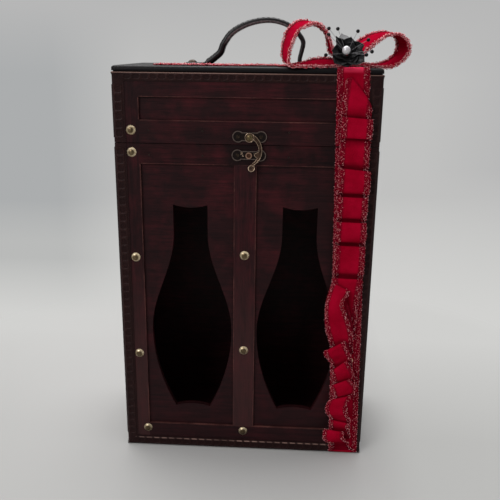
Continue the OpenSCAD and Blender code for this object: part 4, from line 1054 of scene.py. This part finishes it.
# Each petal: turn, reach, half width, rise, cup, bluntness of its tip, crumple
PETALS = [
    (-82, 12.4, 8.4, 1.6, 2.6, 0.5, 1), (-28, 16.4, 8, 2.4, 3, 0.5, 1.4), (22, 14.6, 6, 4.6, 2.4, 0.6, 1.4),
    (76, 12.6, 6.6, 4.6, 2.2, 0.85, 1.2), (128, 14.6, 3.6, 6.2, 3.8, 0.75, 1),
    (178, 11.4, 6.4, 4.2, 3, 0.55, 1.2), (226, 13, 7.4, 2, 2.4, 0.5, 1.2), (-58, 9.4, 5.4, 2.8, 2.2, 0.55, 1),
    (0, 10.4, 5, 4, 2.2, 0.6, 1), (52, 8.8, 4.6, 5, 2, 0.7, 0.8), (204, 8.8, 5.2, 3.8, 2.2, 0.6, 1),
]
petal_cloth = cloth_petals("flower_petal_cloth", PETALS, black_satin, 0.35)
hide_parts("flower_petals")
gauze = cloth_petals("flower_gauze", [(106, 16.6, 6.4, 2.6, 1.4, 0.5, 0.8)], gauze_look, 0.12)

STAMEN_REACH = 20.5
BEAD_RISE = STAMEN_REACH * 0.6
BEAD_RADIUS = 1.45
FOOT_RISE = 2.6            # of the wires' feet and of the dark ring round them
FOOT_OUT = 2.7
WIRE_RADIUS = 0.15
WIRE_STEPS = 8
WIRE_ARCH = 0.9
COLLAR_RADIUS = 3.0        # of that ring, which is a tube of 1 mm radius
# Each stamen: its turn in degrees and its share of the reach
STAMENS = [(134, 1), (117, 0.795), (146, 0.83), (58, 0.727), (19, 0.83), (-12, 0.96), (-24, 0.815),
           (206, 0.82)]


def make_stamens():
    """Eight clear wires from round the pearl, each with a black bead on its end."""
    wires = ([], [])
    beads = ([], [])
    for turn, share in STAMENS:
        angle = math.radians(turn)
        aim = Vector((math.cos(angle), math.sin(angle), 0))
        foot = Vector((0, 0, FOOT_RISE)) + aim * FOOT_OUT
        tip = Vector((0, 0, BEAD_RISE)) + aim * (STAMEN_REACH * share)
        shares = [step / WIRE_STEPS for step in range(WIRE_STEPS + 1)]
        path = [foot.lerp(tip, t) + Vector((0, 0, WIRE_ARCH * math.sin(math.pi * t))) for t in shares]
        tube(*wires, [in_flower(*spot) for spot in path], WIRE_RADIUS, 6)
        ball(*beads, in_flower(*tip), BEAD_RADIUS)
    tube(*beads, [in_flower(x, y, FOOT_RISE) for x, y in ring(0, 0, COLLAR_RADIUS, 20)], 1.0, closed=True)
    wire = new_object("stamen_wires", *wires, wire_look)
    bead = new_object("stamen_beads", *beads, bead_look)
    for piece in (wire, bead):
        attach(piece, "lid")
    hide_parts("flower_stamens")


make_stamens()


# ---- the latch's rubbed rims

def middle_of(node):
    """The middle of a CAD node's box, in millimetres."""
    return (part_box(node)[0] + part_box(node)[1]) / 2 / MM


PIVOT = middle_of("latch_rivet")
HOOK_THICK = 1.2
HOOK_FRONT = LATH_Y - 2.8
HOOK_BEND = -17.0          # its height from the pivot, as for the places below
HOOK_TAIL_LEAN = math.radians(20)
BOW_RADIUS = 15.0          # of the hook's round bow, at its outer edge
BOW_CENTRE = (-4.6, -10.2)
RIM = 0.3                  # radius of the raised rims
TAIL_AT = (2.0, -25.0)
TAIL_RADIUS = 2.8
EYE_RADIUS = 3.9
BARB = [(3.9, -13.1), (4.4, -14.7)]
SCROLL = [(-6.8, 2.4), (-5.6, 2.5), (-5.2, 1.9), (-6.4, 1.2), (-6.5, 0.6), (-5.2, 0.5), (-4.6, 0),
          (-5.2, -0.7), (-4.0, -0.8)]


def on_hook(x, z):
    """A point on the front of the latch's hook, whose tail stands off below its bend."""
    out = -HOOK_THICK / 2
    if z < HOOK_BEND:
        down = z - HOOK_BEND
        cos, sin = math.cos(HOOK_TAIL_LEAN), math.sin(HOOK_TAIL_LEAN)
        out, z = out * cos + down * sin, HOOK_BEND - out * sin + down * cos
    return Vector((PIVOT.x + x, HOOK_FRONT + HOOK_THICK / 2 + out, PIVOT.z + z))


def hook_arc(first, last, inner=False):
    """Points along the hook's bow between two angles, just inside its outer or its inner edge. The bow
    is 3.7 wide at 68 degrees, and 1.5 less after another 132 degrees."""
    spots = []
    for step in range(23):
        angle = math.radians(first + (last - first) * step / 22)
        reach = BOW_RADIUS - (3.7 - 1.5 * (68 - math.degrees(angle)) / 132 - RIM if inner else RIM)
        spots.append((BOW_CENTRE[0] + reach * math.cos(angle), BOW_CENTRE[1] + reach * math.sin(angle)))
    return spots


def make_latch_trim():
    """Raised rims round the hook's eye, bow, barb and cup, and the cast scroll beside the post."""
    rims = ([], [])
    for path in (hook_arc(60, -58), hook_arc(56, -4, inner=True) + BARB + hook_arc(-29, -56, inner=True)):
        tube(*rims, [on_hook(x, z) for x, z in path], RIM)
    tube(*rims, [on_hook(x, z) for x, z in ring(0, 0, EYE_RADIUS - RIM)], RIM, closed=True)
    tube(*rims, [on_hook(x, z) for x, z in ring(*TAIL_AT, TAIL_RADIUS - RIM - 0.1)], RIM + 0.15, closed=True)
    trim = new_object("hook_rims", *rims, rim_metal)
    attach(trim, "latch_hook")
    scroll = ([], [])
    post = middle_of("latch_post")
    path = smooth_path([(post.x + x, LATH_Y - 0.85, post.z + z) for x, z in SCROLL], 0.3)
    tube(*scroll, path, 0.3)
    cast = new_object("plate_scroll", *scroll, rim_metal)
    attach(cast, "box")


make_latch_trim()


# ---- the carrying strap

# Its middle line, from left to right: x, and the height above the lid's top
STRAP_KNOTS = [
    (-55, 1), (-47, 1), (-42, 1), (-39, 1.2), (-36.3, 2.2), (-33.1, 4.2), (-29.2, 7.2), (-26.6, 9.4),
    (-25, 11.6), (-24.2, 14), (-23, 17), (-20.6, 20.8), (-17.7, 24.7), (-13.2, 28.5), (-6, 32.4), (1, 34.9),
    (9.5, 36.6), (17.9, 36.8), (24.7, 35.6), (31, 33.3), (37.5, 29.2), (42.1, 24.4), (44.5, 20.6), (44.9, 18),
    (44.3, 14.5), (43.2, 9.8), (42.3, 5.4), (42.9, 2.4), (45.6, 1), (51, 1), (58, 1),
]
STRAP_HALF = 6.0           # half its width
STRAP_SIDES = 24
TAB_THICK = 0.98           # half its thickness over the flat tabs
LEFT_TAB, RIGHT_TAB = 15, 13
LEFT_RAMP, RIGHT_RAMP = 5, 4
ARCH_THICK = 3.2           # half its thickness at the left end of its arch
ARCH_THINS = 1.5           # and how much less that is at the right end
STITCH_IN = 4.6            # of the stitches, from the strap's middle
STITCH = ((-1.1, -0.25), (-0.6, 0.12), (0.6, 0.12), (1.1, -0.25))   # along the strap and out of it
STITCH_RADIUS = 0.15


def strap_thick(run, whole):
    """Half the strap's thickness at a run along it, which swells past the tabs and thins to the right."""
    swell = eased(min((run - LEFT_TAB) / LEFT_RAMP, (whole - RIGHT_TAB - run) / RIGHT_RAMP))
    return TAB_THICK + (ARCH_THICK - ARCH_THINS * run / whole - TAB_THICK) * swell, swell


def across_path(step):
    """The way along a path and the way up from it, from the step between two of its points."""
    along = Vector(step).normalized()
    return along, Vector((-along.z, 0, along.x))


def make_strap():
    """The padded strap: a rounded section swept along its arch, thinner over the flat tabs."""
    path = smooth_path([(x, 0.0, LID_TOP + max(z, 1.0)) for x, z in STRAP_KNOTS], 1.5)
    count = len(path)
    points, faces = [], []
    run = [0.0]
    for a, b in zip(path, path[1:]):
        run.append(run[-1] + float(np.linalg.norm(b - a)))
    for i, spot in enumerate(path):
        along, up = across_path(path[min(i + 1, count - 1)] - path[max(i - 1, 0)])
        spot = Vector((spot[0], spot[1], max(spot[2], LID_TOP + 1.0)))
        half, swell = strap_thick(run[i], run[-1])
        for c, s in turns(STRAP_SIDES):
            y = STRAP_HALF * math.copysign(abs(c) ** 0.55, c)
            z = half * math.copysign(abs(s) ** (0.8 - 0.25 * (1 - swell)), s)
            corner = spot + Vector((0, y, 0)) + up * z
            corner.z = max(corner.z, LID_TOP + 0.02)
            points.append(corner)
    skin(faces, 0, count, STRAP_SIDES, back=True)
    faces.append(tuple(range(STRAP_SIDES)))
    faces.append(tuple(reversed(range((count - 1) * STRAP_SIDES, count * STRAP_SIDES))))
    made = new_object("padded_strap", points, faces, strap_leather)
    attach(made, "lid")
    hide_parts("carrying_strap")
    stitches = ([], [])
    for i in range(4, count - 4, 3):
        along, up = across_path(path[i + 1] - path[i - 1])
        half, swell = strap_thick(run[i], run[-1])
        for side in (-1, 1):
            for face in ((1, -1) if swell > 0.2 else (1,)):
                spot = Vector(path[i]) + Vector((0, side * STITCH_IN, 0)) + up * (face * (half * 0.86 - 0.1))
                spot.z = max(spot.z, LID_TOP + 0.3)
                tube(*stitches, [spot + along * u + up * (face * v) for u, v in STITCH], STITCH_RADIUS, 5)
    thread = new_object("strap_stitches", *stitches, dark_thread)
    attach(thread, "lid")


make_strap()


# ---- embossed cells of the edge wraps

WRAP_WIDE = 10.0
HALF_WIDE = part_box("corner_wrap_front_right")[1].x / MM
HALF_DEEP = -WRAP_FRONT
COVER_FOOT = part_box("lid_edge_wrap_front")[1].z / MM
STRIP_HEAD = COVER_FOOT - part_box("lid_edge_wrap_front")[0].z / MM
CELL_PITCH = 7.0
CELL_LONG = 5.2            # a recess, along the wrap
CELL_EDGE = 0.75           # width of the raised edge above and below the recesses
BAND_WIDEST = 6.4          # the whole raised band, across the wrap
BAND_HIGH = 0.42
SUNK = -0.15               # height of the recesses' foot and of the band's, just inside the leather
SLOPE = 0.45               # width of the band's outer slopes
FOLD_IN = 0.6              # from the box's corner to the start of a mitre's fold
ROLL_RADIUS = 0.62         # of the rolled edge round the lid's top
ROLL_IN = 0.32             # its middle, in from the wraps' faces
ROLL_DOWN = 0.7            # and down from the cover's foot


def cell_rims(wide):
    """Rims of one pitch of the band, each with three points to a corner: its outline at the top,
    the recess at the top, and the recess at its foot. Points are along, across and height."""
    outline, mouth, foot = [], [], []
    half = wide / 2
    for sx, sy, first in ((1, 1, 0), (-1, 1, 90), (-1, -1, 180), (1, -1, 270)):
        for step in range(3):
            angle = math.radians(first + 45 * step)
            for rim, inset, radius, height in ((mouth, 0.0, 1.3, BAND_HIGH), (foot, 0.4, 1.0, SUNK)):
                rim.append((sx * (CELL_LONG / 2 - inset - radius) + radius * math.cos(angle),
                            sy * (half - CELL_EDGE - inset - radius) + radius * math.sin(angle), height))
            u, v, _ = mouth[-1]
            if step == 1:
                u, v = sx * CELL_PITCH / 2, sy * half
            elif abs(math.cos(angle)) > 0.5:
                u = sx * CELL_PITCH / 2
            else:
                v = sy * half
            outline.append((u, v, BAND_HIGH))
    return outline, mouth, foot


def emboss_cell(points, faces, middle, along, across, outward, wide):
    """Adds one pitch of the raised band, with its recess and its two outer slopes."""
    start = len(points)
    rims = cell_rims(wide)
    points.extend(middle + along * u + across * v + outward * height for rim in rims for u, v, height in rim)
    skin(faces, start, len(rims), len(rims[0]))
    for sign, side in ((1, (1, 2, 3, 4)), (-1, (7, 8, 9, 10))):
        foot = len(points)
        for k in side:
            u, v, height = rims[0][k]
            points.append(middle + along * u + across * (v + sign * SLOPE) + outward * SUNK)
        for k in range(3):
            faces.append((start + side[k + 1], start + side[k], foot + k, foot + k + 1))


def emboss_run(points, faces, first, last, across, outward, wide=BAND_WIDEST):
    """A row of cells on a wrap, between two points of its middle line."""
    length = (last - first).length
    along = (last - first) / length
    if along.cross(across).dot(outward) < 0:
        across = -across
    count = int((length + 0.01) // CELL_PITCH)
    spare = (length - count * CELL_PITCH) / 2
    for i in range(count):
        middle = first + along * (spare + CELL_PITCH * (i + 0.5))
        emboss_cell(points, faces, middle, along, across, outward, wide)


def fold_line(points, faces, first, last, outward):
    """The thin raised edge where two wraps meet on the mitre."""
    side = (last - first).normalized().cross(outward)
    start = len(points)
    for spot in (first, (first + last) / 2, last):
        for offset, height in ((-0.45, -0.1), (0.0, 0.38), (0.25, -0.1)):
            points.append(spot + side * offset + outward * height)
    skin(faces, start, 3, 3, shut=False)


def emboss_face(points, faces, outward, plane, half, z0, z1, foot, head):
    """All the cells on one side of the box or lid, from z0 to z1. half is half that side's width; foot
    and head are the heights of its lower and upper strips, or 0 where it has none."""
    outward = Vector(outward)
    up = Vector(UP)
    sideways = up.cross(outward)

    def spot(u, z):
        return outward * plane + sideways * u + up * z
    bottom = z0 + (WRAP_WIDE - 1 if foot else 1.0)
    top = z1 - (head if head else 1.0)
    for end, sign in ((-half, 1), (half, -1)):
        middle = end + sign * WRAP_WIDE / 2
        emboss_run(points, faces, spot(middle, bottom), spot(middle, top), sideways, outward)
        for edge, into in ((z0, foot), (z1, -head)):
            if into:
                fold_line(points, faces, spot(end + sign * FOLD_IN, edge + math.copysign(FOLD_IN, into)),
                          spot(end + sign * WRAP_WIDE, edge + into), outward)
    for height, level in ((foot, z0 + foot / 2), (head, z1 - head / 2)):
        if height:
            emboss_run(points, faces, spot(-half + WRAP_WIDE - 1, level), spot(half - WRAP_WIDE + 1, level),
                       up, outward, min(BAND_WIDEST, height - 2.2))


def make_embossing():
    """The wraps' pressed pattern on the box and on the lid, and the lid's rolled edge."""
    for body, z0, z1, foot, head in (("box", 0.0, SEAM_LOW, WRAP_WIDE, 0),
                                     ("lid", SEAM_HIGH, COVER_FOOT, 0, STRIP_HEAD)):
        points, faces = [], []
        for outward, plane, half in (((0, -1, 0), HALF_DEEP, HALF_WIDE), ((0, 1, 0), HALF_DEEP, HALF_WIDE),
                                     ((1, 0, 0), HALF_WIDE, HALF_DEEP), ((-1, 0, 0), HALF_WIDE, HALF_DEEP)):
            emboss_face(points, faces, outward, plane, half, z0, z1, foot, head)
        if head:
            wide, deep, level = HALF_WIDE - ROLL_IN, HALF_DEEP - ROLL_IN, COVER_FOOT - ROLL_DOWN
            corners = ((-1, -1), (0, -1), (1, -1), (1, 0), (1, 1), (0, 1), (-1, 1), (-1, 0))
            path = [Vector((x * wide, y * deep, level)) for x, y in corners]
            tube(points, faces, path, ROLL_RADIUS, closed=True)
        made = new_object(body + "_wrap_embossing", points, faces, emboss_leather)
        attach(made, body)


make_embossing()


# ---- softened edges of the CAD parts

METALWORK = "latch_plate_lower latch_plate_upper latch_hook hinge_leaves_lower hinge_leaves_upper"
for width, names in ((0.5, WRAPS + " lid_cover"), (0.3, UPRIGHTS + " " + RAILS), (0.15, METALWORK)):
    for name in names.split():
        bevel = nodes[name].modifiers.new("soft_edges", "BEVEL")
        bevel.width = width * MM
        bevel.segments = 2
        bevel.limit_method = "ANGLE"
        bevel.angle_limit = math.radians(40)
        bevel.harden_normals = False
